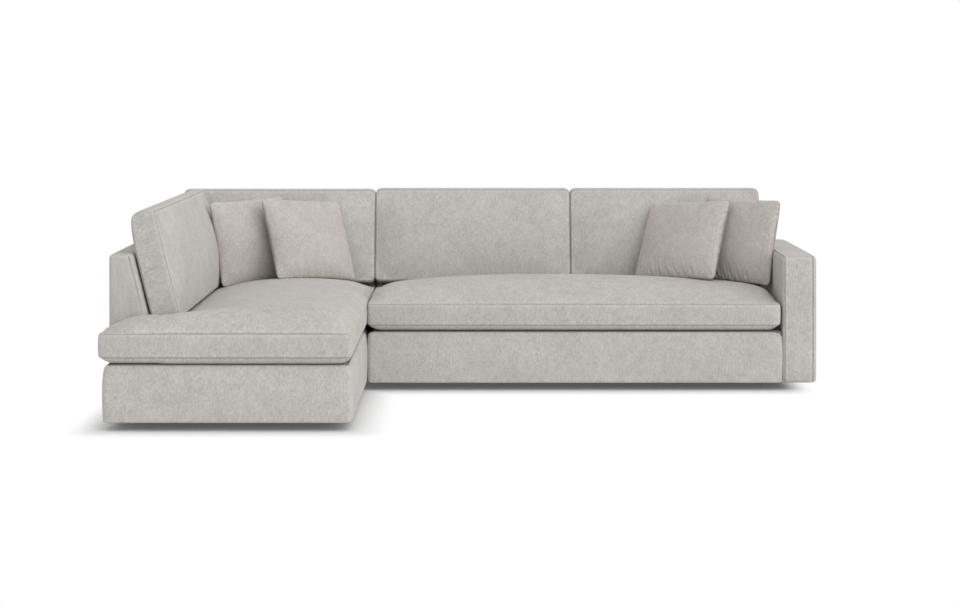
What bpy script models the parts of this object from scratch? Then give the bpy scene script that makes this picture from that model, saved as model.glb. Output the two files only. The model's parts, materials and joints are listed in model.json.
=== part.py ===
"""Bumper sectional sofa in two sections, at rest, in metres, +Z up.

The right section is a sofa with one bench seat, one track arm and two back cushions. The left section
is a bumper: its L-shaped seat passes in front of the end of the left back. Loose cushions and throw
pillows lie on both. Inside are timber rails, sinuous springs, a deck pad, posts and rails for the backs,
and the connectors that hold the sections together.

The origin is the middle of the footprint, on the floor. +X is the right of someone facing the sofa,
and +Y is its rear.
"""

import math

import bmesh
import bpy
import numpy as np
from mathutils import Matrix, Vector
from mathutils.bvhtree import BVHTree

# Overall sizes of the two sections
BUMPER_WIDTH = 1.0235
SOFA_WIDTH = 2.0715
SECTION_GAP = 0.003
SOFA_DEPTH = 0.98
BUMPER_DEPTH = 2.066
WING_DEPTH = 0.181
SEAT_OVERHANG = 0.014

# Heights from the floor
FOOT_HEIGHT = 0.035
DECK_HEIGHT = 0.2735
ARM_HEIGHT = 0.614
BACK_HEIGHT = 0.71

# Upholstered base, arm and backs
APRON_THICKNESS = 0.03
APRON_ROUNDING = 0.012
ARM_WIDTH = 0.148
ARM_WALL = 0.03
ARM_ROUNDING = 0.014
BACK_TOP_THICKNESS = 0.092
BACK_PADDING = 0.035
BACK_TOP_PADDING = 0.03
BACK_ROUNDING = 0.018
BACK_RAKE = math.radians(14.0)
END_WALL_THICKNESS = 0.048
END_WALL_LENGTH = 0.36

# Timber frame, springs and lining
RAIL_THICKNESS = 0.028
RAIL_HEIGHT = 0.165
POST_THICKNESS = 0.026
POST_WIDTH = 0.07
TOP_RAIL_HEIGHT = 0.1
ARM_PANEL_THICKNESS = 0.018
DUST_COVER_THICKNESS = 0.003
DECK_PAD_THICKNESS = 0.029
SPRING_WIRE = 0.004
SPRING_HALF_WIDTH = 0.024
SPRING_WAVES = 8
SPRING_POINTS_PER_WAVE = 6
SPRINGS_PER_SECTION = 3

# Block feet and section connectors
FOOT_TOP_SIDE = 0.06
FOOT_BOTTOM_SIDE = 0.05
FOOT_SIDE_INSET = 0.065
FOOT_FRONT_INSET = 0.26
FOOT_REAR_INSET = 0.085
CONNECTOR_SHEET = 0.003
CONNECTOR_TONGUE_WIDTH = 0.036
CONNECTOR_TONGUE_REACH = 0.06
CONNECTOR_PLATE_LENGTH = 0.11
CONNECTOR_POCKET_LENGTH = 0.085
CONNECTOR_POCKET_DEPTH = 0.006
CONNECTOR_FLANGE = 0.016
CONNECTOR_INSET = 0.16

# Seat cushions: boxed, with a crowned top and a rolled lower edge
SEAT_ROLL = 0.029
SEAT_BOXING = 0.1
BENCH_CROWN = 0.09
BUMPER_CROWN = 0.078
BUMPER_FRONT_SWELL = 0.022
BUMPER_FRONT_SWELL_IN = 0.17
BUMPER_FRONT_SWELL_REACH = 0.12
SEAT_EDGE = 0.09
BENCH_CELLS = (9, 5)
BUMPER_SEAT_CELLS = (5, 9)

# Distances over which a seat's crown rises from its sides: left, right, front and rear
BENCH_RUNS = ((0.16, 0.5), (0.32, 0.32))
BUMPER_MAIN_RUNS = ((0.32, 0.14), (0.2, 0.26))
BUMPER_WING_RUNS = ((0.2, 0.14), (0.17, 0.05))

# Back cushions: boxed, with a crowned front and drawn-in sides
BACK_CUSHION_HEIGHT = 0.464
BACK_CUSHION_BOXING = 0.128
BACK_CUSHION_CROWN = 0.045
BACK_CUSHION_RUN = 0.2
BACK_CUSHION_EDGE = 0.07
BACK_CUSHION_DRAW = 0.007
BACK_CUSHION_CELLS = (3, 2)
LEFT_CUSHION_CELLS = 5
CORNER_CUSHION_INSET = 0.059
MIDDLE_CUSHION_WIDTH = 0.97
LEFT_CUSHION_SETBACK = 0.02
LEFT_CUSHION_REAR_GAP = 0.012

# Knife-edge throw pillows, each squashed a little in height as it stands
PILLOW_WIDTH = 0.45
CORNER_PILLOW_HEIGHT = 0.393
LEFT_FRONT_PILLOW_HEIGHT = 0.409
RIGHT_FRONT_PILLOW_HEIGHT = 0.39
ARM_PILLOW_HEIGHT = 0.404
PILLOW_HALF_THICKNESS = 0.064
PILLOW_DRAW = 0.006
PILLOW_CELLS = 6

# Where the pillows stand: in from the left back or the arm, in from the rear back, turn, lean and roll
CORNER_PILLOW_IN = (0.24, 0.247)
LEFT_FRONT_PILLOW_IN = (0.51, 0.236)
RIGHT_FRONT_PILLOW_IN = (0.416, 0.247)
ARM_PILLOW_IN = (0.159, 0.287)
CORNER_PILLOW_TURN = 44.0
FRONT_PILLOW_TURN = 39.8
CORNER_PILLOW_LEAN = 12.7
FRONT_PILLOW_LEAN = 27.0
CORNER_PILLOW_ROLL = 1.4
FRONT_PILLOW_ROLL = -4.6

# Gaps between pieces that touch, and between pieces that slide past each other
SEATED = 0.0005
SLIDING = 0.002
CUSHION_SIDE_GAP = 0.0015

# The plan and the levels that follow from these sizes
WIDTH = SEAT_OVERHANG + BUMPER_WIDTH + SECTION_GAP + SOFA_WIDTH
DEPTH = SEAT_OVERHANG + BUMPER_DEPTH
BUMPER_LEFT = -WIDTH / 2 + SEAT_OVERHANG
BUMPER_RIGHT = BUMPER_LEFT + BUMPER_WIDTH
SOFA_LEFT = BUMPER_RIGHT + SECTION_GAP
SOFA_RIGHT = SOFA_LEFT + SOFA_WIDTH
ARM_INNER = SOFA_RIGHT - ARM_WIDTH
REAR = DEPTH / 2
SOFA_FRONT = REAR - SOFA_DEPTH
BUMPER_FRONT = REAR - BUMPER_DEPTH
LEFT_BACK_FRONT = BUMPER_FRONT + WING_DEPTH
END_WALL_FRONT = REAR - END_WALL_LENGTH

DUST_COVER_LOW = FOOT_HEIGHT + 2 * SEATED
RAIL_LOW = DUST_COVER_LOW + DUST_COVER_THICKNESS + SEATED
RAIL_TOP = RAIL_LOW + RAIL_HEIGHT
DECK_LOW = DECK_HEIGHT - DECK_PAD_THICKNESS
BACK_PAD_LOW = DECK_LOW - SEATED
RAKE_SLOPE = math.tan(BACK_RAKE)


def back_depth(height):
    """How far the raked face of a back stands in from its outer face, at a height from the floor."""
    return BACK_TOP_THICKNESS + (BACK_HEIGHT - height) * RAKE_SLOPE


BACK_FOOT_DEPTH = back_depth(BACK_PAD_LOW)
REAR_FACE_LOW = REAR - BACK_FOOT_DEPTH
LEFT_FACE_LOW = BUMPER_LEFT + BACK_FOOT_DEPTH

parts = bpy.data.collections.new("bumper_sectional_sofa")
cutters = bpy.data.collections.new("cutters")


def linear(red, green, blue):
    """An sRGB colour of 0 to 255 as the linear values that a shader takes."""
    return tuple(((c / 255 + 0.055) / 1.055) ** 2.4 for c in (red, green, blue)) + (1.0,)


def finish(name, colour, roughness, metallic=0.0):
    """A Principled material."""
    made = bpy.data.materials.new(name)
    made.use_nodes = True
    shader = made.node_tree.nodes["Principled BSDF"]
    shader.inputs["Base Color"].default_value = colour
    shader.inputs["Roughness"].default_value = roughness
    shader.inputs["Metallic"].default_value = metallic
    return made


def add_object(name, data, look, parent=None, collection=parts):
    """Puts data in the scene as a named object, with its material and its section's empty as parent."""
    made = bpy.data.objects.new(name, data)
    collection.objects.link(made)
    made.parent = parent
    if look is not None:
        data.materials.append(look)
    return made


def mesh_of(bm, name):
    """Makes the bmesh a mesh."""
    mesh = bpy.data.meshes.new(name)
    bm.to_mesh(mesh)
    bm.free()
    return mesh


def block(name, low, high, look, parent=None, rounding=0.0, collection=parts):
    """A box between two corners, with its edges rounded if asked."""
    low, high = Vector(low), Vector(high)
    bm = bmesh.new()
    bmesh.ops.create_cube(bm, size=1.0)
    bmesh.ops.scale(bm, vec=high - low, verts=bm.verts)
    made = add_object(name, mesh_of(bm, name), look, parent, collection)
    made.location = (low + high) / 2
    if rounding:
        bevel = made.modifiers.new("rounded_edges", "BEVEL")
        bevel.width = rounding
        bevel.segments = 2
        made.data.shade_smooth()
    return made


def rounded(corners, radii, steps=3):
    """The outline through the corners, with an arc of steps chords at each corner that has a radius."""
    outline = []
    count = len(corners)
    for index, radius in enumerate(radii):
        corner = Vector(corners[index])
        if not radius:
            outline.append(corner)
            continue
        to_last = (Vector(corners[index - 1]) - corner).normalized()
        to_next = (Vector(corners[(index + 1) % count]) - corner).normalized()
        half = to_last.angle(to_next) / 2
        centre = corner + (to_last + to_next).normalized() * radius / math.sin(half)
        first = corner + to_last * radius / math.tan(half) - centre
        turn = to_last.angle_signed(to_next)
        sweep = math.copysign(math.pi - 2 * half, turn)
        for step in range(steps + 1):
            outline.append(centre + Matrix.Rotation(sweep * step / steps, 2) @ first)
    return outline


AXIS_FRAMES = {
    "X": Matrix(((0, 0, 1, 0), (1, 0, 0, 0), (0, 1, 0, 0), (0, 0, 0, 1))),
    "Y": Matrix(((1, 0, 0, 0), (0, 0, -1, 0), (0, 1, 0, 0), (0, 0, 0, 1))),
    "Z": Matrix.Identity(4),
}


def extruded(name, outline, axis, low, high, look, parent=None, collection=parts):
    """A flat outline carried along an axis from low to high, as a closed mesh.

    The outline is in (Y, Z) for axis X, in (X, Z) for axis Y and in (X, Y) for axis Z.
    """
    curve = bpy.data.curves.new(name, "CURVE")
    curve.dimensions = "2D"
    curve.fill_mode = "BOTH"
    curve.extrude = (high - low) / 2
    spline = curve.splines.new("POLY")
    spline.points.add(len(outline) - 1)
    for point, place in zip(spline.points, outline):
        point.co = (place[0], place[1], 0.0, 1.0)
    spline.use_cyclic_u = True
    guide = bpy.data.objects.new(name + "_outline", curve)
    bpy.context.scene.collection.objects.link(guide)
    bpy.context.view_layer.update()
    graph = bpy.context.evaluated_depsgraph_get()
    mesh = bpy.data.meshes.new_from_object(guide.evaluated_get(graph))
    bm = bmesh.new()
    bm.from_mesh(mesh)
    bmesh.ops.remove_doubles(bm, verts=bm.verts, dist=1e-6)
    bmesh.ops.recalc_face_normals(bm, faces=bm.faces)
    bm.to_mesh(mesh)
    bm.free()
    bpy.data.objects.remove(guide)
    mesh.name = name
    made = add_object(name, mesh, look, parent, collection)
    heading = Vector((axis == "X", axis == "Y", axis == "Z"))
    made.matrix_world = Matrix.Translation(heading * (low + high) / 2) @ AXIS_FRAMES[axis]
    return made


def combine(target, other, operation):
    """Cuts other from target, or joins it on, and keeps other as a hidden helper."""
    other.hide_render = True
    other.display_type = "WIRE"
    change = target.modifiers.new(operation.lower(), "BOOLEAN")
    change.operation = operation
    change.object = other


def world_edges(piece, samples=12):
    """The piece's evaluated surface as (points along its edges, corners, faces), in world space."""
    bpy.context.view_layer.update()
    evaluated = piece.evaluated_get(bpy.context.evaluated_depsgraph_get())
    mesh = evaluated.to_mesh()
    mesh.calc_loop_triangles()
    place = evaluated.matrix_world
    corners = [place @ vertex.co for vertex in mesh.vertices]
    faces = [tuple(face.vertices) for face in mesh.loop_triangles]
    evaluated.to_mesh_clear()
    ends = {tuple(sorted(pair)) for a, b, c in faces for pair in ((a, b), (b, c), (c, a))}
    along = [corners[a].lerp(corners[b], k / samples) for a, b in sorted(ends) for k in range(samples)]
    return along, corners, faces


def settle(piece, supports, heading):
    """Moves a loose piece along heading until it lies on the first of its supports."""
    heading = Vector(heading).normalized()
    own_points, own_corners, own_faces = world_edges(piece)
    own_tree = BVHTree.FromPolygons(own_corners, own_faces)
    travel = []
    for support in supports:
        points, corners, faces = world_edges(support)
        tree = BVHTree.FromPolygons(corners, faces)
        travel += [tree.ray_cast(point, heading)[3] for point in own_points]
        travel += [own_tree.ray_cast(point, -heading)[3] for point in points]
    piece.location += heading * (min(t for t in travel if t is not None) - SEATED)


def spread(low, high, edge, cells):
    """Cage lines from low to high: one a fixed edge in from each end, and cells equal ones between."""
    return [low, *np.linspace(low + edge, high - edge, cells + 1), high]


class Plan:
    """A cushion's plan on a grid of cage lines, with the cells that it fills."""

    def __init__(self, us, vs, filled=lambda u, v: True):
        self.us = us
        self.vs = vs
        middles_u = np.convolve(us, (0.5, 0.5), "valid")
        middles_v = np.convolve(vs, (0.5, 0.5), "valid")
        cells = np.array([[filled(u, v) for v in middles_v] for u in middles_u])
        self.cells = np.pad(cells, 1)

    def around(self, i, j):
        """Which of the four cells round a grid point are filled, as offsets."""
        sides = ((-1, -1), (-1, 1), (1, -1), (1, 1))
        return [(a, b) for a, b in sides if self.cells[i + (a + 1) // 2, j + (b + 1) // 2]]

    def inward(self, i, j):
        """The direction into the plan from a point of its outline, or zero inside it."""
        filled = self.around(i, j)
        return np.sign(np.sum(filled, axis=0)) if 0 < len(filled) < 4 else np.zeros(2)

    def place(self, u, v):
        """The grid place nearest to a point."""
        return int(np.abs(np.subtract(self.us, u)).argmin()), int(np.abs(np.subtract(self.vs, v)).argmin())

    def is_notch(self, i, j):
        """Whether a grid point is the inner corner of an L."""
        return len(self.around(i, j)) == 3

    def middleness(self, u, v):
        """How near a point is to the middle of the sides that it lies on: 0 at an end and 1 halfway."""
        share_u = (u - self.us[0]) / (self.us[-1] - self.us[0])
        share_v = (v - self.vs[0]) / (self.vs[-1] - self.vs[0])
        return np.array((4 * share_v * (1 - share_v), 4 * share_u * (1 - share_u)))


def plan_grid(plan):
    """A flat mesh of the plan's filled cells, with each vertex's grid place."""
    bm = bmesh.new()
    cells_u, cells_v = len(plan.us) - 1, len(plan.vs) - 1
    bmesh.ops.create_grid(bm, x_segments=cells_u, y_segments=cells_v, size=0.5)
    places = {}
    for vertex in bm.verts:
        place = (round((vertex.co.x + 0.5) * cells_u), round((vertex.co.y + 0.5) * cells_v))
        places[vertex] = place
        vertex.co = (plan.us[place[0]], plan.vs[place[1]], 0.0)
    unused = [vertex for vertex in bm.verts if not plan.around(*places[vertex])]
    bmesh.ops.delete(bm, geom=unused, context="VERTS")
    first_places = {face: np.min([places[vertex] for vertex in face.verts], axis=0) for face in bm.faces}
    holes = [face for face, (i, j) in first_places.items() if not plan.cells[i + 1, j + 1]]
    bmesh.ops.delete(bm, geom=holes, context="FACES")
    return bm


def lift(bm, faces, height, keep_floor):
    """Extrudes a region of faces upwards and returns its new top faces, without the old ones if asked."""
    made = bmesh.ops.extrude_face_region(bm, geom=faces)["geom"]
    bmesh.ops.translate(bm, verts=[g for g in made if isinstance(g, bmesh.types.BMVert)], vec=(0, 0, height))
    if not keep_floor:
        bmesh.ops.delete(bm, geom=[face for face in faces if face.is_valid], context="FACES")
    return [g for g in made if isinstance(g, bmesh.types.BMFace)]


def soften(made, level=1):
    """Turns a cage into a soft form."""
    surface = made.modifiers.new("soft_form", "SUBSURF")
    surface.levels = level
    surface.render_levels = level
    made.data.shade_smooth()


def nearness(place, span, runs):
    """How near a place is to an end of its span: 1 at the end, falling to 0 over that end's run."""
    return max(0.0, 1 - (place - span[0]) / runs[0], 1 - (span[1] - place) / runs[1])


def swell(u, v, spans, runs):
    """How far a rectangular panel has risen at a point: 0 at its rim and 1 past the runs of its sides."""
    near_u, near_v = (nearness(*each) for each in zip((u, v), spans, runs))
    return 1 - min(1.0, near_u**3 + near_v**3) ** (2 / 3)


def boxed_cushion(name, plan, boxing, roll, rise, draw, look, parent):
    """A boxed cushion: two panels sewn to a band, its lower edge rolled under.

    The upper panel is crowned: rise gives its height over the seam at a point of the plan.
    """
    bm = plan_grid(plan)
    top = list(bm.faces)
    if roll:
        top = lift(bm, top, roll, keep_floor=True)
    lift(bm, top, boxing, keep_floor=not roll)
    bmesh.ops.recalc_face_normals(bm, faces=bm.faces)
    bm.normal_update()
    seam_heights = np.round((roll, roll + boxing), 6)
    creases = bm.edges.layers.float.new("crease_edge")
    sharp = bm.verts.layers.float.new("crease_vert")
    places = {vertex: plan.place(vertex.co.x, vertex.co.y) for vertex in bm.verts}
    for edge in bm.edges:
        heights = {round(vertex.co.z, 6) for vertex in edge.verts}
        on_seam = len(heights) == 1 and heights.pop() in seam_heights
        in_panel = all(abs(face.normal.z) > 0.5 for face in edge.link_faces)
        in_notch = all(plan.is_notch(*places[vertex]) for vertex in edge.verts)
        edge[creases] = 1.0 if in_notch or (on_seam and not in_panel) else 0.0
    for vertex, (i, j) in places.items():
        u, v, height = vertex.co
        vertex[sharp] = 1.0 if plan.is_notch(i, j) else 0.0
        inward = plan.inward(i, j)
        if not inward.any():
            if height > roll + boxing / 2:
                vertex.co.z += rise(u, v)
            continue
        inset = draw * plan.middleness(u, v)
        if height < roll / 2:
            inset += roll
        vertex.co.x += inward[0] * inset[0]
        vertex.co.y += inward[1] * inset[1]
    made = add_object(name, mesh_of(bm, name), look, parent)
    soften(made)
    return made


def pillow(name, height, look, parent):
    """A knife-edge pillow of a height: two panels that swell between pointed corners and share one seam."""
    bm = bmesh.new()
    for side in (1, -1):
        made = bmesh.ops.create_grid(bm, x_segments=PILLOW_CELLS, y_segments=PILLOW_CELLS, size=1.0)
        if side < 0:
            panel = {face for vertex in made["verts"] for face in vertex.link_faces}
            bmesh.ops.reverse_faces(bm, faces=list(panel))
        for vertex in made["verts"]:
            a, b = vertex.co.x, vertex.co.y
            swell = math.sqrt(max(0.0, (1 - a * a) * (1 - b * b)))
            vertex.co.x = a * (PILLOW_WIDTH / 2 - PILLOW_DRAW * (1 - b * b))
            vertex.co.y = b * (height / 2 - PILLOW_DRAW * (1 - a * a))
            vertex.co.z = side * PILLOW_HALF_THICKNESS * swell
    bmesh.ops.remove_doubles(bm, verts=bm.verts, dist=1e-5)
    creases = bm.edges.layers.float.new("crease_edge")
    for edge in bm.edges:
        edge[creases] = 1.0 if all(abs(vertex.co.z) < 1e-6 for vertex in edge.verts) else 0.0
    made = add_object(name, mesh_of(bm, name), look, parent)
    soften(made)
    return made


def sinuous_spring(name, start, end, look, parent):
    """A zigzag spring wire from rail to rail, arched up to the underside of the deck pad."""
    start, end = Vector(start), Vector(end)
    sideways = (end - start).cross(Vector((0, 0, 1))).normalized()
    arch = DECK_LOW - SEATED - SPRING_WIRE / 2 - start.z
    count = SPRING_WAVES * SPRING_POINTS_PER_WAVE
    curve = bpy.data.curves.new(name, "CURVE")
    curve.dimensions = "3D"
    curve.bevel_depth = SPRING_WIRE / 2
    curve.bevel_resolution = 1
    curve.use_fill_caps = True
    spline = curve.splines.new("POLY")
    spline.points.add(count)
    for k, point in enumerate(spline.points):
        t = k / count
        swing = SPRING_HALF_WIDTH * math.sin(2 * math.pi * SPRING_WAVES * t)
        place = start.lerp(end, t) + sideways * swing + Vector((0, 0, 4 * arch * t * (1 - t)))
        point.co = (*place, 1.0)
    return add_object(name, curve, look, parent)


def spring_places(low, high):
    """Where a section's springs cross its frame: evenly spread, the middle one beside the stretcher."""
    places = np.linspace(low, high, SPRINGS_PER_SECTION + 2)[1:-1]
    places[SPRINGS_PER_SECTION // 2] += SPRING_HALF_WIDTH + RAIL_THICKNESS
    return [float(place) for place in places]


def foot(name, x, y, look, parent):
    """A block foot, tapered to the floor."""
    bm = bmesh.new()
    bmesh.ops.create_cube(bm, size=1.0)
    height = FOOT_HEIGHT + SEATED
    for vertex in bm.verts:
        side = FOOT_TOP_SIDE if vertex.co.z > 0 else FOOT_BOTTOM_SIDE
        vertex.co = (vertex.co.x * side, vertex.co.y * side, (vertex.co.z + 0.5) * height)
    made = add_object(name, mesh_of(bm, name), look, parent)
    made.location = (x, y, 0.0)
    return made


def back_section(outer, direction):
    """The padded back in section, hollow and open below, from its outer face along direction (1 or -1)."""
    slant = BACK_PADDING / math.cos(BACK_RAKE)
    inner_top = BACK_HEIGHT - BACK_TOP_PADDING
    depths = (
        (0.0, FOOT_HEIGHT),
        (APRON_THICKNESS, FOOT_HEIGHT),
        (APRON_THICKNESS, inner_top),
        (back_depth(inner_top) - slant, inner_top),
        (back_depth(BACK_PAD_LOW) - slant, BACK_PAD_LOW),
        (back_depth(BACK_PAD_LOW), BACK_PAD_LOW),
        (BACK_TOP_THICKNESS, BACK_HEIGHT),
        (0.0, BACK_HEIGHT),
    )
    corners = [(outer + direction * depth, height) for depth, height in depths]
    return rounded(corners, (0, 0, 0, 0, 0, 0, BACK_ROUNDING, BACK_ROUNDING))


def back_end(outer, direction, low):
    """The outline of a back's end panel, down to a height."""
    depths = (
        (0.0, low),
        (BACK_FOOT_DEPTH, low),
        (back_depth(BACK_PAD_LOW), BACK_PAD_LOW),
        (BACK_TOP_THICKNESS, BACK_HEIGHT),
        (0.0, BACK_HEIGHT),
    )
    if low >= BACK_PAD_LOW:
        depths = depths[:1] + depths[2:]
    corners = [(outer + direction * depth, height) for depth, height in depths]
    radii = [0] * (len(corners) - 2) + [BACK_ROUNDING] * 2
    return rounded(corners, radii)


def connector_pair(end, y, look, bumper, sofa):
    """A tongue plate under the bumper section and the pocket under the sofa section that it slides into."""
    top = FOOT_HEIGHT - SEATED
    half = CONNECTOR_TONGUE_WIDTH / 2
    block(
        f"bumper_connector_{end}",
        (BUMPER_RIGHT - CONNECTOR_PLATE_LENGTH, y - half, top - CONNECTOR_SHEET),
        (BUMPER_RIGHT + CONNECTOR_TONGUE_REACH, y + half, top),
        look,
        bumper,
    )
    wall = half + SLIDING
    floor = top - CONNECTOR_POCKET_DEPTH
    hat = (
        (-wall, top),
        (-wall, floor),
        (wall, floor),
        (wall, top),
        (wall + CONNECTOR_FLANGE, top),
        (wall + CONNECTOR_FLANGE, top - CONNECTOR_SHEET),
        (wall + CONNECTOR_SHEET, top - CONNECTOR_SHEET),
        (wall + CONNECTOR_SHEET, floor - CONNECTOR_SHEET),
        (-wall - CONNECTOR_SHEET, floor - CONNECTOR_SHEET),
        (-wall - CONNECTOR_SHEET, top - CONNECTOR_SHEET),
        (-wall - CONNECTOR_FLANGE, top - CONNECTOR_SHEET),
        (-wall - CONNECTOR_FLANGE, top),
    )
    outline = [(y + across, height) for across, height in hat]
    left = SOFA_LEFT
    extruded(f"sofa_connector_{end}", outline, "X", left, left + CONNECTOR_POCKET_LENGTH, look, sofa)


def section_feet(prefix, left, right, front, rear, look, parent):
    """Four feet, set in from the section's corners."""
    for end, y in (("front", front + FOOT_FRONT_INSET), ("rear", rear - FOOT_REAR_INSET)):
        for side, x in (("left", left + FOOT_SIDE_INSET), ("right", right - FOOT_SIDE_INSET)):
            foot(f"{prefix}_foot_{end}_{side}", x, y, look, parent)


def sofa_base(looks, sofa):
    """Rails, springs, deck, aprons, dust cover and feet of the sofa section."""
    front = SOFA_FRONT + APRON_THICKNESS + SEATED
    rear = REAR - APRON_THICKNESS - SEATED
    left = SOFA_LEFT + APRON_THICKNESS + SEATED
    right = ARM_INNER - APRON_THICKNESS - 2 * SEATED
    fabric, timber = looks["fabric"], looks["timber"]

    block("sofa_front_rail", (left, front, RAIL_LOW), (right, front + RAIL_THICKNESS, RAIL_TOP), timber, sofa)
    block("sofa_rear_rail", (left, rear - RAIL_THICKNESS, RAIL_LOW), (right, rear, RAIL_TOP), timber, sofa)
    inner_front = front + RAIL_THICKNESS + SEATED
    inner_rear = rear - RAIL_THICKNESS - SEATED
    middle = (left + right) / 2
    cross_rails = (
        ("sofa_left_rail", left),
        ("sofa_centre_stretcher", middle - RAIL_THICKNESS / 2),
        ("sofa_right_rail", right - RAIL_THICKNESS),
    )
    for name, x in cross_rails:
        block(name, (x, inner_front, RAIL_LOW), (x + RAIL_THICKNESS, inner_rear, RAIL_TOP), timber, sofa)
    seat_z = RAIL_TOP + SEATED + SPRING_WIRE / 2
    for number, x in enumerate(spring_places(left, right), 1):
        start = (x, front + RAIL_THICKNESS / 2, seat_z)
        end = (x, rear - RAIL_THICKNESS / 2, seat_z)
        sinuous_spring(f"sofa_seat_spring_{number}", start, end, looks["spring_steel"], sofa)
    block(
        "sofa_deck_pad",
        (left, front, DECK_LOW),
        (ARM_INNER - SEATED, REAR_FACE_LOW - SEATED, DECK_HEIGHT),
        looks["deck_cloth"],
        sofa,
    )
    block(
        "sofa_front_apron",
        (SOFA_LEFT, SOFA_FRONT, FOOT_HEIGHT),
        (ARM_INNER - SEATED, SOFA_FRONT + APRON_THICKNESS, DECK_HEIGHT),
        fabric,
        sofa,
        APRON_ROUNDING,
    )
    block(
        "sofa_left_apron",
        (SOFA_LEFT, front, FOOT_HEIGHT),
        (SOFA_LEFT + APRON_THICKNESS, REAR_FACE_LOW - SEATED, DECK_HEIGHT),
        fabric,
        sofa,
        APRON_ROUNDING,
    )
    block(
        "sofa_dust_cover",
        (left, front, DUST_COVER_LOW),
        (right, rear, DUST_COVER_LOW + DUST_COVER_THICKNESS),
        looks["dust_cloth"],
        sofa,
    )
    section_feet("sofa", SOFA_LEFT, ARM_INNER, SOFA_FRONT, REAR, looks["foot"], sofa)


def sofa_back_and_arm(looks, sofa):
    """The sofa section's back, with its posts and top rail, and its arm over a plywood panel."""
    fabric, timber = looks["fabric"], looks["timber"]
    section = back_section(REAR, -1)
    left_end = SOFA_LEFT + APRON_THICKNESS
    right_end = ARM_INNER - SEATED - APRON_THICKNESS
    lap = APRON_THICKNESS / 2
    back = extruded("sofa_back_cover", section, "X", left_end - lap, right_end + lap, fabric, sofa)
    panel = back_end(REAR, -1, FOOT_HEIGHT)
    ends = (("left", SOFA_LEFT, left_end), ("right", right_end, ARM_INNER - SEATED))
    for side, low, high in ends:
        end = extruded(f"sofa_back_{side}_end", panel, "X", low, high, None, sofa, cutters)
        combine(back, end, "UNION")

    post_rear = REAR - APRON_THICKNESS - SEATED
    rail_top = BACK_HEIGHT - BACK_TOP_PADDING - SEATED
    post_low = RAIL_TOP + SEATED
    post_top = rail_top - TOP_RAIL_HEIGHT - SEATED
    post_front = post_rear - POST_THICKNESS
    first, last = left_end + SEATED, right_end - SEATED
    block(
        "sofa_back_top_rail",
        (first, post_front, rail_top - TOP_RAIL_HEIGHT),
        (last, post_rear, rail_top),
        timber,
        sofa,
    )
    for side, x in (("left", first), ("right", last - POST_WIDTH)):
        low = (x, post_front, post_low)
        block(f"sofa_back_post_{side}", low, (x + POST_WIDTH, post_rear, post_top), timber, sofa)

    arm = block(
        "sofa_arm_cover",
        (ARM_INNER, SOFA_FRONT, FOOT_HEIGHT),
        (SOFA_RIGHT, REAR, ARM_HEIGHT),
        fabric,
        sofa,
        ARM_ROUNDING,
    )
    hollow = block(
        "sofa_arm_hollow",
        (ARM_INNER + ARM_WALL, SOFA_FRONT + ARM_WALL, 0.0),
        (SOFA_RIGHT - ARM_WALL, REAR - ARM_WALL, ARM_HEIGHT - ARM_WALL),
        None,
        sofa,
        collection=cutters,
    )
    combine(arm, hollow, "DIFFERENCE")
    panel_left = ARM_INNER + ARM_WALL + SEATED
    block(
        "sofa_arm_panel",
        (panel_left, SOFA_FRONT + ARM_WALL + SEATED, RAIL_LOW),
        (panel_left + ARM_PANEL_THICKNESS, REAR - ARM_WALL - SEATED, ARM_HEIGHT - ARM_WALL - SEATED),
        timber,
        sofa,
    )


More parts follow.
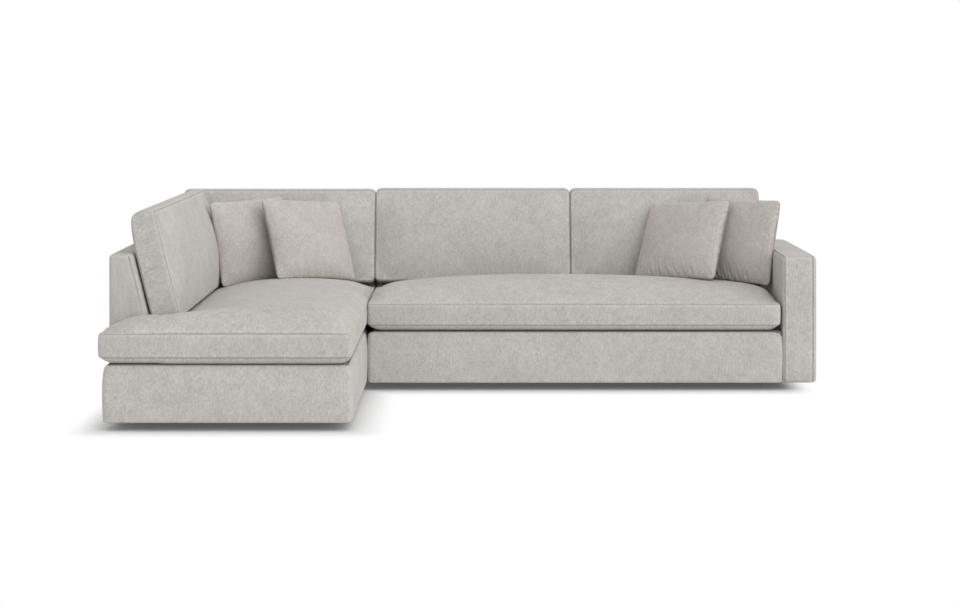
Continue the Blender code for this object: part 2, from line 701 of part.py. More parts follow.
def bumper_base(looks, bumper):
    """Rails, springs, deck, aprons, dust cover and feet of the bumper section."""
    front = BUMPER_FRONT + APRON_THICKNESS + SEATED
    rear = REAR - APRON_THICKNESS - SEATED
    left = BUMPER_LEFT + APRON_THICKNESS + SEATED
    right = BUMPER_RIGHT - APRON_THICKNESS - SEATED
    fabric, timber = looks["fabric"], looks["timber"]

    middle = (front + rear) / 2
    inner_left = left + RAIL_THICKNESS + SEATED
    inner_right = right - RAIL_THICKNESS - SEATED
    for name, x in (("bumper_left_rail", left), ("bumper_right_rail", right - RAIL_THICKNESS)):
        block(name, (x, front, RAIL_LOW), (x + RAIL_THICKNESS, rear, RAIL_TOP), timber, bumper)
    cross_rails = (
        ("bumper_front_rail", front),
        ("bumper_stretcher", middle - RAIL_THICKNESS / 2),
        ("bumper_rear_rail", rear - RAIL_THICKNESS),
    )
    for name, y in cross_rails:
        low = (inner_left, y, RAIL_LOW)
        block(name, low, (inner_right, y + RAIL_THICKNESS, RAIL_TOP), timber, bumper)
    seat_z = RAIL_TOP + SEATED + SPRING_WIRE / 2
    for number, y in enumerate(spring_places(front, rear), 1):
        start = (left + RAIL_THICKNESS / 2, y, seat_z)
        end = (right - RAIL_THICKNESS / 2, y, seat_z)
        sinuous_spring(f"bumper_seat_spring_{number}", start, end, looks["spring_steel"], bumper)
    deck_left = LEFT_FACE_LOW + SEATED
    wing_rear = LEFT_BACK_FRONT - SEATED
    deck = (
        (left, front),
        (right, front),
        (right, REAR_FACE_LOW - SEATED),
        (deck_left, REAR_FACE_LOW - SEATED),
        (deck_left, wing_rear),
        (left, wing_rear),
    )
    extruded("bumper_deck_pad", deck, "Z", DECK_LOW, DECK_HEIGHT, looks["deck_cloth"], bumper)
    aprons = (
        ("front", (BUMPER_LEFT, BUMPER_FRONT), (BUMPER_RIGHT, BUMPER_FRONT + APRON_THICKNESS)),
        ("right", (BUMPER_RIGHT - APRON_THICKNESS, front), (BUMPER_RIGHT, REAR_FACE_LOW - SEATED)),
        ("left", (BUMPER_LEFT, front), (BUMPER_LEFT + APRON_THICKNESS, wing_rear)),
    )
    for side, low, high in aprons:
        low, high = (*low, FOOT_HEIGHT), (*high, DECK_HEIGHT)
        block(f"bumper_{side}_apron", low, high, fabric, bumper, APRON_ROUNDING)
    block(
        "bumper_dust_cover",
        (left, front, DUST_COVER_LOW),
        (right, rear, DUST_COVER_LOW + DUST_COVER_THICKNESS),
        looks["dust_cloth"],
        bumper,
    )
    section_feet("bumper", BUMPER_LEFT, BUMPER_RIGHT, BUMPER_FRONT, REAR, looks["foot"], bumper)


def bumper_backs(looks, bumper):
    """The bumper section's left and rear backs, with their posts and top rails."""
    fabric, timber = looks["fabric"], looks["timber"]
    lap = APRON_THICKNESS / 2

    left_section = back_section(BUMPER_LEFT, 1)
    cap_rear = LEFT_BACK_FRONT + APRON_THICKNESS
    left_back = extruded(
        "bumper_left_back_cover", left_section, "Y", cap_rear - lap, END_WALL_FRONT, fabric, bumper
    )
    front_panel = back_end(BUMPER_LEFT, 1, BACK_PAD_LOW)
    cap = extruded("left_back_cap", front_panel, "Y", LEFT_BACK_FRONT, cap_rear, None, bumper, cutters)
    combine(left_back, cap, "UNION")
    wall = (
        (BUMPER_LEFT, FOOT_HEIGHT),
        (BUMPER_LEFT + APRON_THICKNESS, FOOT_HEIGHT),
        (BUMPER_LEFT + APRON_THICKNESS, BACK_PAD_LOW),
        (BUMPER_LEFT + END_WALL_THICKNESS, BACK_PAD_LOW),
        (BUMPER_LEFT + END_WALL_THICKNESS, BACK_HEIGHT),
        (BUMPER_LEFT, BACK_HEIGHT),
    )
    wall_outline = rounded(wall, (0, 0, 0, 0, BACK_ROUNDING, BACK_ROUNDING))
    end_wall = extruded("end_wall", wall_outline, "Y", END_WALL_FRONT - lap, REAR, None, bumper, cutters)
    combine(left_back, end_wall, "UNION")

    rear_left = BUMPER_LEFT + END_WALL_THICKNESS + SEATED
    rear_right = BUMPER_RIGHT - APRON_THICKNESS
    rear_section = back_section(REAR, -1)
    rear_back = extruded(
        "bumper_rear_back_cover", rear_section, "X", rear_left, rear_right + lap, fabric, bumper
    )
    end_panel = back_end(REAR, -1, FOOT_HEIGHT)
    end = extruded("rear_back_end", end_panel, "X", rear_right, BUMPER_RIGHT, None, bumper, cutters)
    combine(rear_back, end, "UNION")

    rail_top = BACK_HEIGHT - BACK_TOP_PADDING - SEATED
    rail_low = rail_top - TOP_RAIL_HEIGHT
    post_low = RAIL_TOP + SEATED
    post_top = rail_low - SEATED
    post_rear = REAR - APRON_THICKNESS - SEATED
    post_front = post_rear - POST_THICKNESS
    last = rear_right - SEATED
    block(
        "bumper_rear_top_rail",
        (rear_left, post_front, rail_low),
        (last, post_rear, rail_top),
        timber,
        bumper,
    )
    rear_posts = (("bumper_corner_post", rear_left), ("bumper_right_post", last - POST_WIDTH))
    for name, x in rear_posts:
        block(name, (x, post_front, post_low), (x + POST_WIDTH, post_rear, post_top), timber, bumper)
    post_left = BUMPER_LEFT + APRON_THICKNESS + SEATED
    post_right = post_left + POST_THICKNESS
    first = cap_rear + SEATED
    end_wall_front = END_WALL_FRONT - lap - SEATED
    block(
        "bumper_left_top_rail",
        (post_left, first, rail_low),
        (post_right, end_wall_front, rail_top),
        timber,
        bumper,
    )
    block(
        "bumper_front_post",
        (post_left, first, post_low),
        (post_right, first + POST_WIDTH, post_top),
        timber,
        bumper,
    )


def seat_cushions(looks, sofa, bumper):
    """The bench seat and the L-shaped bumper seat, on their decks."""
    base = DECK_HEIGHT + SEATED
    rear = REAR_FACE_LOW - SLIDING
    across = spread(SOFA_LEFT + CUSHION_SIDE_GAP, ARM_INNER - SLIDING, SEAT_EDGE, BENCH_CELLS[0])
    along = spread(SOFA_FRONT - SEAT_OVERHANG, rear, SEAT_EDGE, BENCH_CELLS[1])
    bench_spans = ((across[0], across[-1]), (along[0], along[-1]))

    def bench_rise(x, y):
        """The bench's crown, full at the split and falling slowly to the arm."""
        return BENCH_CROWN * swell(x, y, bench_spans, BENCH_RUNS)

    plan = Plan(across, along)
    sizes = (SEAT_BOXING, SEAT_ROLL)
    bench = boxed_cushion("bench_seat_cushion", plan, *sizes, bench_rise, 0.0, looks["cushion"], sofa)
    bench.location.z = base

    main_left = LEFT_FACE_LOW + SLIDING
    wing_left = BUMPER_LEFT - SEAT_OVERHANG
    wing_front = BUMPER_FRONT - SEAT_OVERHANG
    wing_rear = LEFT_BACK_FRONT - SLIDING
    right = BUMPER_RIGHT - CUSHION_SIDE_GAP
    cells_across, cells_along = BUMPER_SEAT_CELLS
    across = [wing_left, (wing_left + main_left) / 2, *spread(main_left, right, SEAT_EDGE, cells_across)]
    behind_wing = spread(wing_rear, rear, SEAT_EDGE, cells_along)[2:]
    along = [wing_front, (wing_front + wing_rear) / 2, wing_rear, *behind_wing]
    main_spans = ((main_left, right), (wing_front, rear))
    wing_spans = ((wing_left, right), (wing_front, wing_rear))
    ridge = wing_front + BUMPER_FRONT_SWELL_IN

    def bumper_rise(x, y):
        """The bumper seat's crown: the main part and the wing in one, fullest along the front."""
        main = swell(x, y, main_spans, BUMPER_MAIN_RUNS) if x > main_left else 0.0
        wing = swell(x, y, wing_spans, BUMPER_WING_RUNS) if y < wing_rear else 0.0
        both = min(1.0, (main**4 + wing**4) ** 0.25)
        front_swell = math.exp(-(((y - ridge) / BUMPER_FRONT_SWELL_REACH) ** 2))
        return both * (BUMPER_CROWN + BUMPER_FRONT_SWELL * main * front_swell)

    plan = Plan(across, along, lambda x, y: x > main_left or y < wing_rear)
    seat = boxed_cushion("bumper_seat_cushion", plan, *sizes, bumper_rise, 0.0, looks["cushion"], bumper)
    seat.location.z = base
    return bench, seat


def back_cushions(looks, sofa, bumper, bench, bumper_seat):
    """Three cushions along the rear back and one along the left back, each lying on the seat below it."""
    runs = ((BACK_CUSHION_RUN,) * 2,) * 2
    upright = (0.0, BACK_CUSHION_HEIGHT)

    def upholstered(name, length, cells, parent):
        """A back cushion of a length, lying on its back."""
        span = (-length / 2, length / 2)
        plan = Plan(spread(*span, BACK_CUSHION_EDGE, cells), slope)

        def rise(u, v):
            """The crown of the cushion's front."""
            return BACK_CUSHION_CROWN * swell(u, v, (span, upright), runs)

        sizes = (BACK_CUSHION_BOXING, 0.0)
        return boxed_cushion(name, plan, *sizes, rise, BACK_CUSHION_DRAW, looks["cushion"], parent)

    split = BUMPER_RIGHT - CUSHION_SIDE_GAP
    middle_left = SOFA_LEFT + CUSHION_SIDE_GAP
    middle_right = middle_left + MIDDLE_CUSHION_WIDTH
    row = (
        ("corner_back_cushion", BUMPER_LEFT + CORNER_CUSHION_INSET, split, bumper, bumper_seat),
        ("middle_back_cushion", middle_left, middle_right, sofa, bench),
        ("right_back_cushion", middle_right + CUSHION_SIDE_GAP, ARM_INNER - SLIDING, sofa, bench),
    )
    slope = spread(*upright, BACK_CUSHION_EDGE, BACK_CUSHION_CELLS[1])
    start = DECK_HEIGHT + SEAT_ROLL + SEAT_BOXING + BENCH_CROWN
    up_rear = Vector((0, math.sin(BACK_RAKE), math.cos(BACK_RAKE)))
    made = []
    for name, left, right, parent, seat in row:
        cushion = upholstered(name, right - left, BACK_CUSHION_CELLS[0], parent)
        cushion.rotation_euler.x = math.pi / 2 - BACK_RAKE
        face = REAR - back_depth(start) - SEATED / math.cos(BACK_RAKE)
        cushion.location = ((left + right) / 2, face, start)
        settle(cushion, [seat], -up_rear)
        made.append(cushion)

    front = LEFT_BACK_FRONT + LEFT_CUSHION_SETBACK
    front_face = BACK_CUSHION_BOXING / math.cos(BACK_RAKE) + back_depth(start)
    rear = REAR - front_face - BACK_CUSHION_CROWN - LEFT_CUSHION_REAR_GAP
    length = rear - front
    left = upholstered("left_back_cushion", length, LEFT_CUSHION_CELLS, bumper)
    for vertex in left.data.vertices:
        share = max(0.0, vertex.co.x / (length / 2)) ** 3
        vertex.co.x += share * vertex.co.y * math.sin(BACK_RAKE)
    up_left = Vector((-math.sin(BACK_RAKE), 0, math.cos(BACK_RAKE)))
    outward = Vector((math.cos(BACK_RAKE), 0, math.sin(BACK_RAKE)))
    turned = Matrix((Vector((0, 1, 0)), up_left, outward)).transposed()
    left.rotation_euler = turned.to_euler()
    face = BUMPER_LEFT + back_depth(start) + SEATED / math.cos(BACK_RAKE)
    left.location = (face, (front + rear) / 2, start)
    settle(left, [bumper_seat], -up_left)
    return made + [left]


def throw_pillows(looks, sofa, bumper, bench, bumper_seat):
    """Two pillows at each end of the rear back: one stands across the corner, one leans in front of it."""
    left_end = (BUMPER_LEFT + back_depth(DECK_HEIGHT), 1, bumper, bumper_seat)
    arm_end = (ARM_INNER, -1, sofa, bench)
    across_corner = (CORNER_PILLOW_TURN, CORNER_PILLOW_LEAN, CORNER_PILLOW_ROLL)
    in_front = (FRONT_PILLOW_TURN, FRONT_PILLOW_LEAN, FRONT_PILLOW_ROLL)
    layout = (
        ("corner_pillow", left_end, CORNER_PILLOW_IN, CORNER_PILLOW_HEIGHT, across_corner),
        ("left_front_pillow", left_end, LEFT_FRONT_PILLOW_IN, LEFT_FRONT_PILLOW_HEIGHT, in_front),
        ("right_front_pillow", arm_end, RIGHT_FRONT_PILLOW_IN, RIGHT_FRONT_PILLOW_HEIGHT, in_front),
        ("arm_pillow", arm_end, ARM_PILLOW_IN, ARM_PILLOW_HEIGHT, across_corner),
    )
    above = DECK_HEIGHT + SEAT_ROLL + SEAT_BOXING + BENCH_CROWN + PILLOW_WIDTH
    for name, (end, side, parent, seat), (from_end, from_rear), height, angles in layout:
        made = pillow(name, height, looks["pillow"], parent)
        turn, lean, roll = (math.radians(angle) for angle in angles)
        turned = Matrix.Rotation(side * turn, 3, "Z")
        leant = Matrix.Rotation(math.pi / 2 - lean, 3, "X")
        rolled = Matrix.Rotation(side * roll, 3, "Z")
        made.rotation_euler = (turned @ leant @ rolled).to_euler()
        made.location = (end + side * from_end, REAR_FACE_LOW - from_rear, above)
        settle(made, [seat], (0, 0, -1))


def main():
    """Clears the scene and builds both sections and their loose pieces."""
    for old in list(bpy.data.objects):
        bpy.data.objects.remove(old)
    for group in (parts, cutters):
        bpy.context.scene.collection.children.link(group)
    looks = {
        "fabric": finish("woven_fabric", linear(186, 182, 177), 0.95),
        "cushion": finish("cushion_fabric", linear(188, 184, 180), 0.95),
        "pillow": finish("pillow_fabric", linear(186, 181, 176), 0.95),
        "timber": finish("frame_timber", linear(196, 164, 120), 0.7),
        "spring_steel": finish("spring_steel", linear(120, 120, 122), 0.4, 1.0),
        "deck_cloth": finish("deck_cloth", linear(150, 146, 141), 0.95),
        "dust_cloth": finish("dust_cloth", linear(28, 28, 30), 0.95),
        "foot": finish("foot_wood", linear(38, 32, 28), 0.5),
        "plate": finish("connector_plate", linear(150, 150, 152), 0.45, 1.0),
    }
    sections = []
    for name in ("sofa_section", "bumper_section"):
        empty = bpy.data.objects.new(name, None)
        parts.objects.link(empty)
        sections.append(empty)
    sofa, bumper = sections
    sofa_base(looks, sofa)
    sofa_back_and_arm(looks, sofa)
    bumper_base(looks, bumper)
    bumper_backs(looks, bumper)
    for end, y in (("front", SOFA_FRONT + CONNECTOR_INSET), ("rear", REAR - CONNECTOR_INSET)):
        connector_pair(end, y, looks["plate"], bumper, sofa)
    bench, bumper_seat = seat_cushions(looks, sofa, bumper)
    back_cushions(looks, sofa, bumper, bench, bumper_seat)
    throw_pillows(looks, sofa, bumper, bench, bumper_seat)


main()
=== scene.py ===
"""Looks of the bumper sectional sofa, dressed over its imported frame.

Every visible piece is a surface worked out with numpy: boxed cushions, knife-edge pillows, padded blocks
and walls swept round the base. The cushions and pillows are then swollen by a short cloth simulation, and
their seams are drawn in afterwards. Lengths are in metres, in the frame's own axes: +X to the right of
someone facing the sofa, +Y to its rear, +Z up.
"""

from __future__ import annotations

import json
import logging
import math
from dataclasses import dataclass
from enum import Enum
from typing import Any, Callable, Sequence

import bpy
import numpy as np
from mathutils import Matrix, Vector

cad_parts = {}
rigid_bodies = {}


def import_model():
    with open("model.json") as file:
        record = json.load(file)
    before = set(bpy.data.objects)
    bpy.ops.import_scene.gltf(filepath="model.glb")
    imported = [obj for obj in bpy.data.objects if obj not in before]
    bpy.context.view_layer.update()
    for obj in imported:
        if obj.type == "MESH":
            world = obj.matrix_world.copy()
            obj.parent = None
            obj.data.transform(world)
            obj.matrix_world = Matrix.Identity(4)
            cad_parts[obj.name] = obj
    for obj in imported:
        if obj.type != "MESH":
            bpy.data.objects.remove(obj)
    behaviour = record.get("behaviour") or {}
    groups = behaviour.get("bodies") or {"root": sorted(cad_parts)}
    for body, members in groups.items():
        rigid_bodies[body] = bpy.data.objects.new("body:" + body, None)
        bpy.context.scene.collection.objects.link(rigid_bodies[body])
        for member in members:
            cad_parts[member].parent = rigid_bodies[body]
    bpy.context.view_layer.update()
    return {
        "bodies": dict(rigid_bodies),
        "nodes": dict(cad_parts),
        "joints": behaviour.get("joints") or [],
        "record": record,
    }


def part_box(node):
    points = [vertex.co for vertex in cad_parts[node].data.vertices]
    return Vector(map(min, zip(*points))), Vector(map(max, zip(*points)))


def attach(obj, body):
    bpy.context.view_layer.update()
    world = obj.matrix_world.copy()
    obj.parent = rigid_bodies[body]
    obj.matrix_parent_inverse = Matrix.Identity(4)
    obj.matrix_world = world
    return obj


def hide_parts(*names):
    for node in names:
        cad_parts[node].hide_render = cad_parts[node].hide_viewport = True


Array = np.ndarray
Rect = tuple[tuple[float, float], tuple[float, float]]
Runs = tuple[tuple[float, float], tuple[float, float]]
Rise = Callable[[np.ndarray, np.ndarray], np.ndarray]
log = logging.getLogger("sofa")

FAR_FROM_SEAM = 1.0
ON_SEAM = 1e-6
WELD_DIGITS = 5
WELD_OFFSET = 3.7e-6
EDGE_LINES = (0.0, 0.005, 0.012, 0.022)
ARC_TURNS = 1 - np.tan(np.radians((45.0, 30.0, 15.0)))
COLOUR, NUMBER, VECTOR = "NodeSocketColor", "NodeSocketFloat", "NodeSocketVector"
WHITE = (1.0, 1.0, 1.0, 1.0)


class Slot(Enum):
    """The record's material slots."""

    COVER = "woven_fabric"
    CUSHION = "cushion_fabric"
    PILLOW = "pillow_fabric"
    DECK = "deck_cloth"
    DUST = "dust_cloth"
    TIMBER = "frame_timber"
    SPRING = "spring_steel"
    CONNECTOR = "connector_steel"
    FOOT = "foot_wood"


class Body(Enum):
    """The bodies that pieces ride on."""

    SOFA = "sofa_section"
    BUMPER = "bumper_section"
    BENCH_SEAT = "bench_seat"
    BUMPER_SEAT = "bumper_seat"
    CORNER_CUSHION = "corner_cushion"
    MIDDLE_CUSHION = "middle_cushion"
    RIGHT_CUSHION = "right_cushion"
    LEFT_CUSHION = "left_cushion"
    CORNER_THROW = "corner_throw"
    LEFT_THROW = "left_throw"
    RIGHT_THROW = "right_throw"
    ARM_THROW = "arm_throw"


def graded(low: float, high: float, step: float, edge: Sequence[float] = EDGE_LINES) -> Array:
    """Grid lines from low to high: close ones at the edge distances from each end, and even ones between."""
    near = np.asarray(edge)
    count = max(2, round((high - low - 2 * near[-1]) / step) + 1)
    even = np.linspace(low + near[-1], high - near[-1], count)
    return np.concatenate((low + near[:-1], even, (high - near[:-1])[::-1]))


def arc_lines(low: float, high: float, radius: float, step: float) -> Array:
    """Grid lines that take the arc at each end in even turns, and lie about a step apart between them."""
    turns = radius * ARC_TURNS
    count = max(2, math.ceil((high - low - 2 * radius) / step) + 1)
    flat = np.linspace(low + radius, high - radius, count)
    return np.concatenate((low + turns, flat, (high - turns)[::-1]))


def bell(distance: Array, width: float) -> Array:
    """A bell curve: 1 at no distance, falling to 1 / e at the width."""
    return np.exp(-((distance / width) ** 2))


def even_runs(run: float) -> Runs:
    """The same run from all four sides."""
    return ((run, run), (run, run))


def no_seam(shape: Sequence[int]) -> Array:
    """Seam distances of a grid that has no seam near it."""
    return np.full(shape, FAR_FROM_SEAM)


def nearness(place: Array, span: tuple[float, float], runs: tuple[float, float]) -> Array:
    """How near each place is to an end of its span: 1 at the end, falling to 0 over that end's run."""
    return np.maximum(np.maximum(1 - (place - span[0]) / runs[0], 1 - (span[1] - place) / runs[1]), 0.0)


def swell(u: Array, v: Array, rect: Rect, runs: Runs) -> Array:
    """A panel's rise from its sides: 1 - t squared, where t is the cube norm of the nearness both ways."""
    cubes = nearness(u, rect[0], runs[0]) ** 3 + nearness(v, rect[1], runs[1]) ** 3
    return 1 - np.minimum(cubes, 1.0) ** (2 / 3)


def rumpled(u: Array, v: Array) -> Array:
    """Soft dents of a loose filling, -1 to 1: the mean of four sines at uneven angles, 10 to 20 cm long."""
    waves = (
        np.sin(41.0 * u + 17.0 * v),
        np.sin(33.0 * v - 22.0 * u + 1.3),
        np.sin(58.0 * u - 9.0 * v + 4.1),
        np.sin(27.0 * u + 49.0 * v + 2.2),
    )
    return sum(waves) / len(waves)


def joined(shares: Sequence[Array]) -> Array:
    """The shares of an L's rectangles as one: their fourth-power norm, which leaves no crease, up to 1."""
    return np.minimum(sum(share**4 for share in shares) ** 0.25, 1.0)


def round_corner(plan: Array, corner: Array, inward: Array, radius: float) -> None:
    """Bends the square rings at a plan's corner to arcs, in place. Inward has the signs of the way in."""
    centre = corner + inward * radius
    near = ((plan - centre) * inward < 0).all(axis=-1)
    arm = plan[near] - centre
    reach = np.abs(arm).max(axis=-1, keepdims=True)
    plan[near] = centre + arm * reach / np.linalg.norm(arm, axis=-1, keepdims=True)


@dataclass
class Patch:
    """A grid of points, with the cloth's own coordinates and the distance to the nearest seam.

    Attributes:
        points: Places, (m, n, 3).
        cloth: Metres across and along the warp at each point, (m, n, 2).
        seam: Distance to the nearest seam at each point, (m, n).
        filled: The cells that exist, (m - 1, n - 1), or None for all.
        flip: Whether the faces point the other way.
        hold: How firmly the simulation holds the points, 0 to 1. It always holds the seams.
    """

    points: Array
    cloth: Array
    seam: Array
    filled: Array | None = None
    flip: bool = False
    hold: float = 0.0


class Shell:
    """Patches welded into one closed mesh of quads."""

    def __init__(self, patches: Sequence[Patch]) -> None:
        """Numbers each patch's cells, then merges the points that patches share.

        Args:
            patches: The patches, whose common edges have the same points.
        """
        quads, cloth, start = [], [], 0
        for patch in patches:
            rows, columns = patch.seam.shape
            index = np.arange(rows * columns).reshape(rows, columns)
            corners = np.stack((index[:-1, :-1], index[1:, :-1], index[1:, 1:], index[:-1, 1:]), axis=-1)
            corners = corners.reshape(-1, 4) if patch.filled is None else corners[patch.filled]
            if patch.flip:
                corners = corners[:, ::-1]
            quads.append(corners + start)
            cloth.append(patch.cloth.reshape(-1, 2)[corners])
            start += rows * columns
        places = np.concatenate([patch.points.reshape(-1, 3) for patch in patches])
        seam = np.concatenate([patch.seam.ravel() for patch in patches])
        hold = np.concatenate([np.full(patch.seam.size, patch.hold) for patch in patches])
        faces = np.concatenate(quads)
        keys = np.round(places + WELD_OFFSET, WELD_DIGITS)
        _, first, merged = np.unique(keys, axis=0, return_index=True, return_inverse=True)
        merged = merged.reshape(-1)
        least = np.full(len(first), np.inf)
        np.minimum.at(least, merged, seam)
        firmest = np.zeros(len(first))
        np.maximum.at(firmest, merged, hold)
        used, faces = np.unique(merged[faces], return_inverse=True)
        self.quads = faces.reshape(-1, 4)
        self.points = places[first][used]
        self.seam = least[used]
        self.hold = np.where(self.seam < ON_SEAM, 1.0, firmest[used])
        self.cloth = np.concatenate(cloth)

    def to_object(self, name: str) -> bpy.types.Object:
        """Makes the mesh object, with the cloth's coordinates as a UV map and the seams as an attribute."""
        mesh = bpy.data.meshes.new(name)
        mesh.vertices.add(len(self.points))
        mesh.vertices.foreach_set("co", self.points.astype(np.float32).ravel())
        mesh.loops.add(self.quads.size)
        mesh.loops.foreach_set("vertex_index", self.quads.astype(np.int32).ravel())
        mesh.polygons.add(len(self.quads))
        mesh.polygons.foreach_set("loop_start", np.arange(0, self.quads.size, 4, dtype=np.int32))
        mesh.update(calc_edges=True)
        mesh.polygons.foreach_set("use_smooth", np.ones(len(self.quads), dtype=bool))
        uv = mesh.uv_layers.new(name="cloth")
        uv.uv.foreach_set("vector", self.cloth.astype(np.float32).ravel())
        seam = mesh.attributes.new("seam", "FLOAT", "POINT")
        seam.data.foreach_set("value", self.seam.astype(np.float32))
        mesh.validate()
        return add_object(name, mesh)


def add_object(name: str, data: bpy.types.ID) -> bpy.types.Object:
    """Adds an object to the scene."""
    made = bpy.data.objects.new(name, data)
    bpy.context.scene.collection.objects.link(made)
    return made


def vectors_of(rows: Any, key: str) -> Array:
    """The vectors in a mesh's rows as an (n, 3) array."""
    flat = np.empty(len(rows) * 3, np.float32)
    rows.foreach_get(key, flat)
    return flat.reshape(-1, 3).astype(float)


def points_of(piece: bpy.types.Object) -> Array:
    """The piece's own vertices as an (n, 3) array."""
    return vectors_of(piece.data.vertices, "co")


def set_points(piece: bpy.types.Object, points: Array) -> None:
    """Puts an (n, 3) array back into the piece's vertices."""
    piece.data.vertices.foreach_set("co", points.astype(np.float32).ravel())
    piece.data.update()


@dataclass(frozen=True)
class Stitching:
    """How a seam draws the cloth in: a narrow groove with a slight ridge on each side.

    Attributes:
        depth: Depth of the groove.
        width: Distance over which the groove closes.
        ridge: Height of the ridges.
        ridge_at: Distance of a ridge from the seam.
    """

    depth: float = 0.0035
    width: float = 0.003
    ridge: float = 0.0010
    ridge_at: float = 0.010

    def draw_in(self, piece: bpy.types.Object) -> None:
        """Moves points along their normals by ridge - groove, bell curves of the distance to the seam."""
        away = np.empty(len(piece.data.vertices), np.float32)
        piece.data.attributes["seam"].data.foreach_get("value", away)
        groove = self.depth * bell(away, self.width)
        ridge = self.ridge * bell(away - self.ridge_at, self.ridge_at / 2)
        normals = vectors_of(piece.data.vertex_normals, "vector")
        set_points(piece, points_of(piece) + normals * (ridge - groove)[:, None])


def soften(piece: bpy.types.Object) -> None:
    """Adds a Subdivision Surface to the piece."""
    surface = piece.modifiers.new("soft_surface", "SUBSURF")
    surface.levels = 1
    surface.render_levels = 1


@dataclass(frozen=True)
class Swelling:
    """A short cloth simulation that swells padded pieces from inside.

    Attributes:
        pressure: Air pressure inside.
        frames: Number of frames that run.
        stiffness: Resistance to stretching and shearing.
        bending: Resistance to folding.
        mass: Mass of each point.
        quality: Steps in each frame.
        cap: The furthest that a point may move.
        gain: How much the simulation raises the middle of a panel.
    """

    pressure: float = 4.0
    frames: int = 20
    stiffness: float = 30.0
    bending: float = 2.0
    mass: float = 0.3
    quality: int = 4
    cap: float = 0.02
    gain: float = 0.0

    def run(self, piece: bpy.types.Object, hold: Array) -> None:
        """Simulates the piece with gravity off and keeps the result as its mesh.

        Args:
            piece: The piece, with no modifiers yet.
            hold: How firmly each point is held, 0 to 1.
        """
        before = points_of(piece)
        group = piece.vertex_groups.new(name="held")
        group.add(np.flatnonzero(hold > 0.5).tolist(), 1.0, "REPLACE")
        cloth = piece.modifiers.new("swelling", "CLOTH")
        settings = cloth.settings
        settings.quality = self.quality
        settings.mass = self.mass
        settings.tension_stiffness = self.stiffness
        settings.compression_stiffness = self.stiffness
        settings.shear_stiffness = self.stiffness / 3
        settings.bending_stiffness = self.bending
        settings.use_pressure = True
        settings.uniform_pressure_force = self.pressure
        settings.effector_weights.gravity = 0.0
        settings.vertex_group_mass = group.name
        cloth.collision_settings.use_collision = False
        cloth.collision_settings.use_self_collision = False
        cloth.point_cache.frame_start = 1
        cloth.point_cache.frame_end = self.frames
        scene = bpy.context.scene
        for frame in range(1, self.frames + 1):
            scene.frame_set(frame)
        swollen = piece.evaluated_get(bpy.context.evaluated_depsgraph_get()).to_mesh()
        after = np.empty(before.size, np.float32)
        swollen.vertices.foreach_get("co", after)
        piece.evaluated_get(bpy.context.evaluated_depsgraph_get()).to_mesh_clear()
        piece.modifiers.remove(cloth)
        piece.vertex_groups.clear()
        scene.frame_set(1)
        move = after.reshape(-1, 3) - before
        length = np.linalg.norm(move, axis=1, keepdims=True)
        limited = self.cap * np.tanh(length / self.cap) / np.maximum(length, 1e-9)
        log.info("%s: swells by %.1f mm at most", piece.name, 1000 * length.max())
        set_points(piece, before + move * limited)


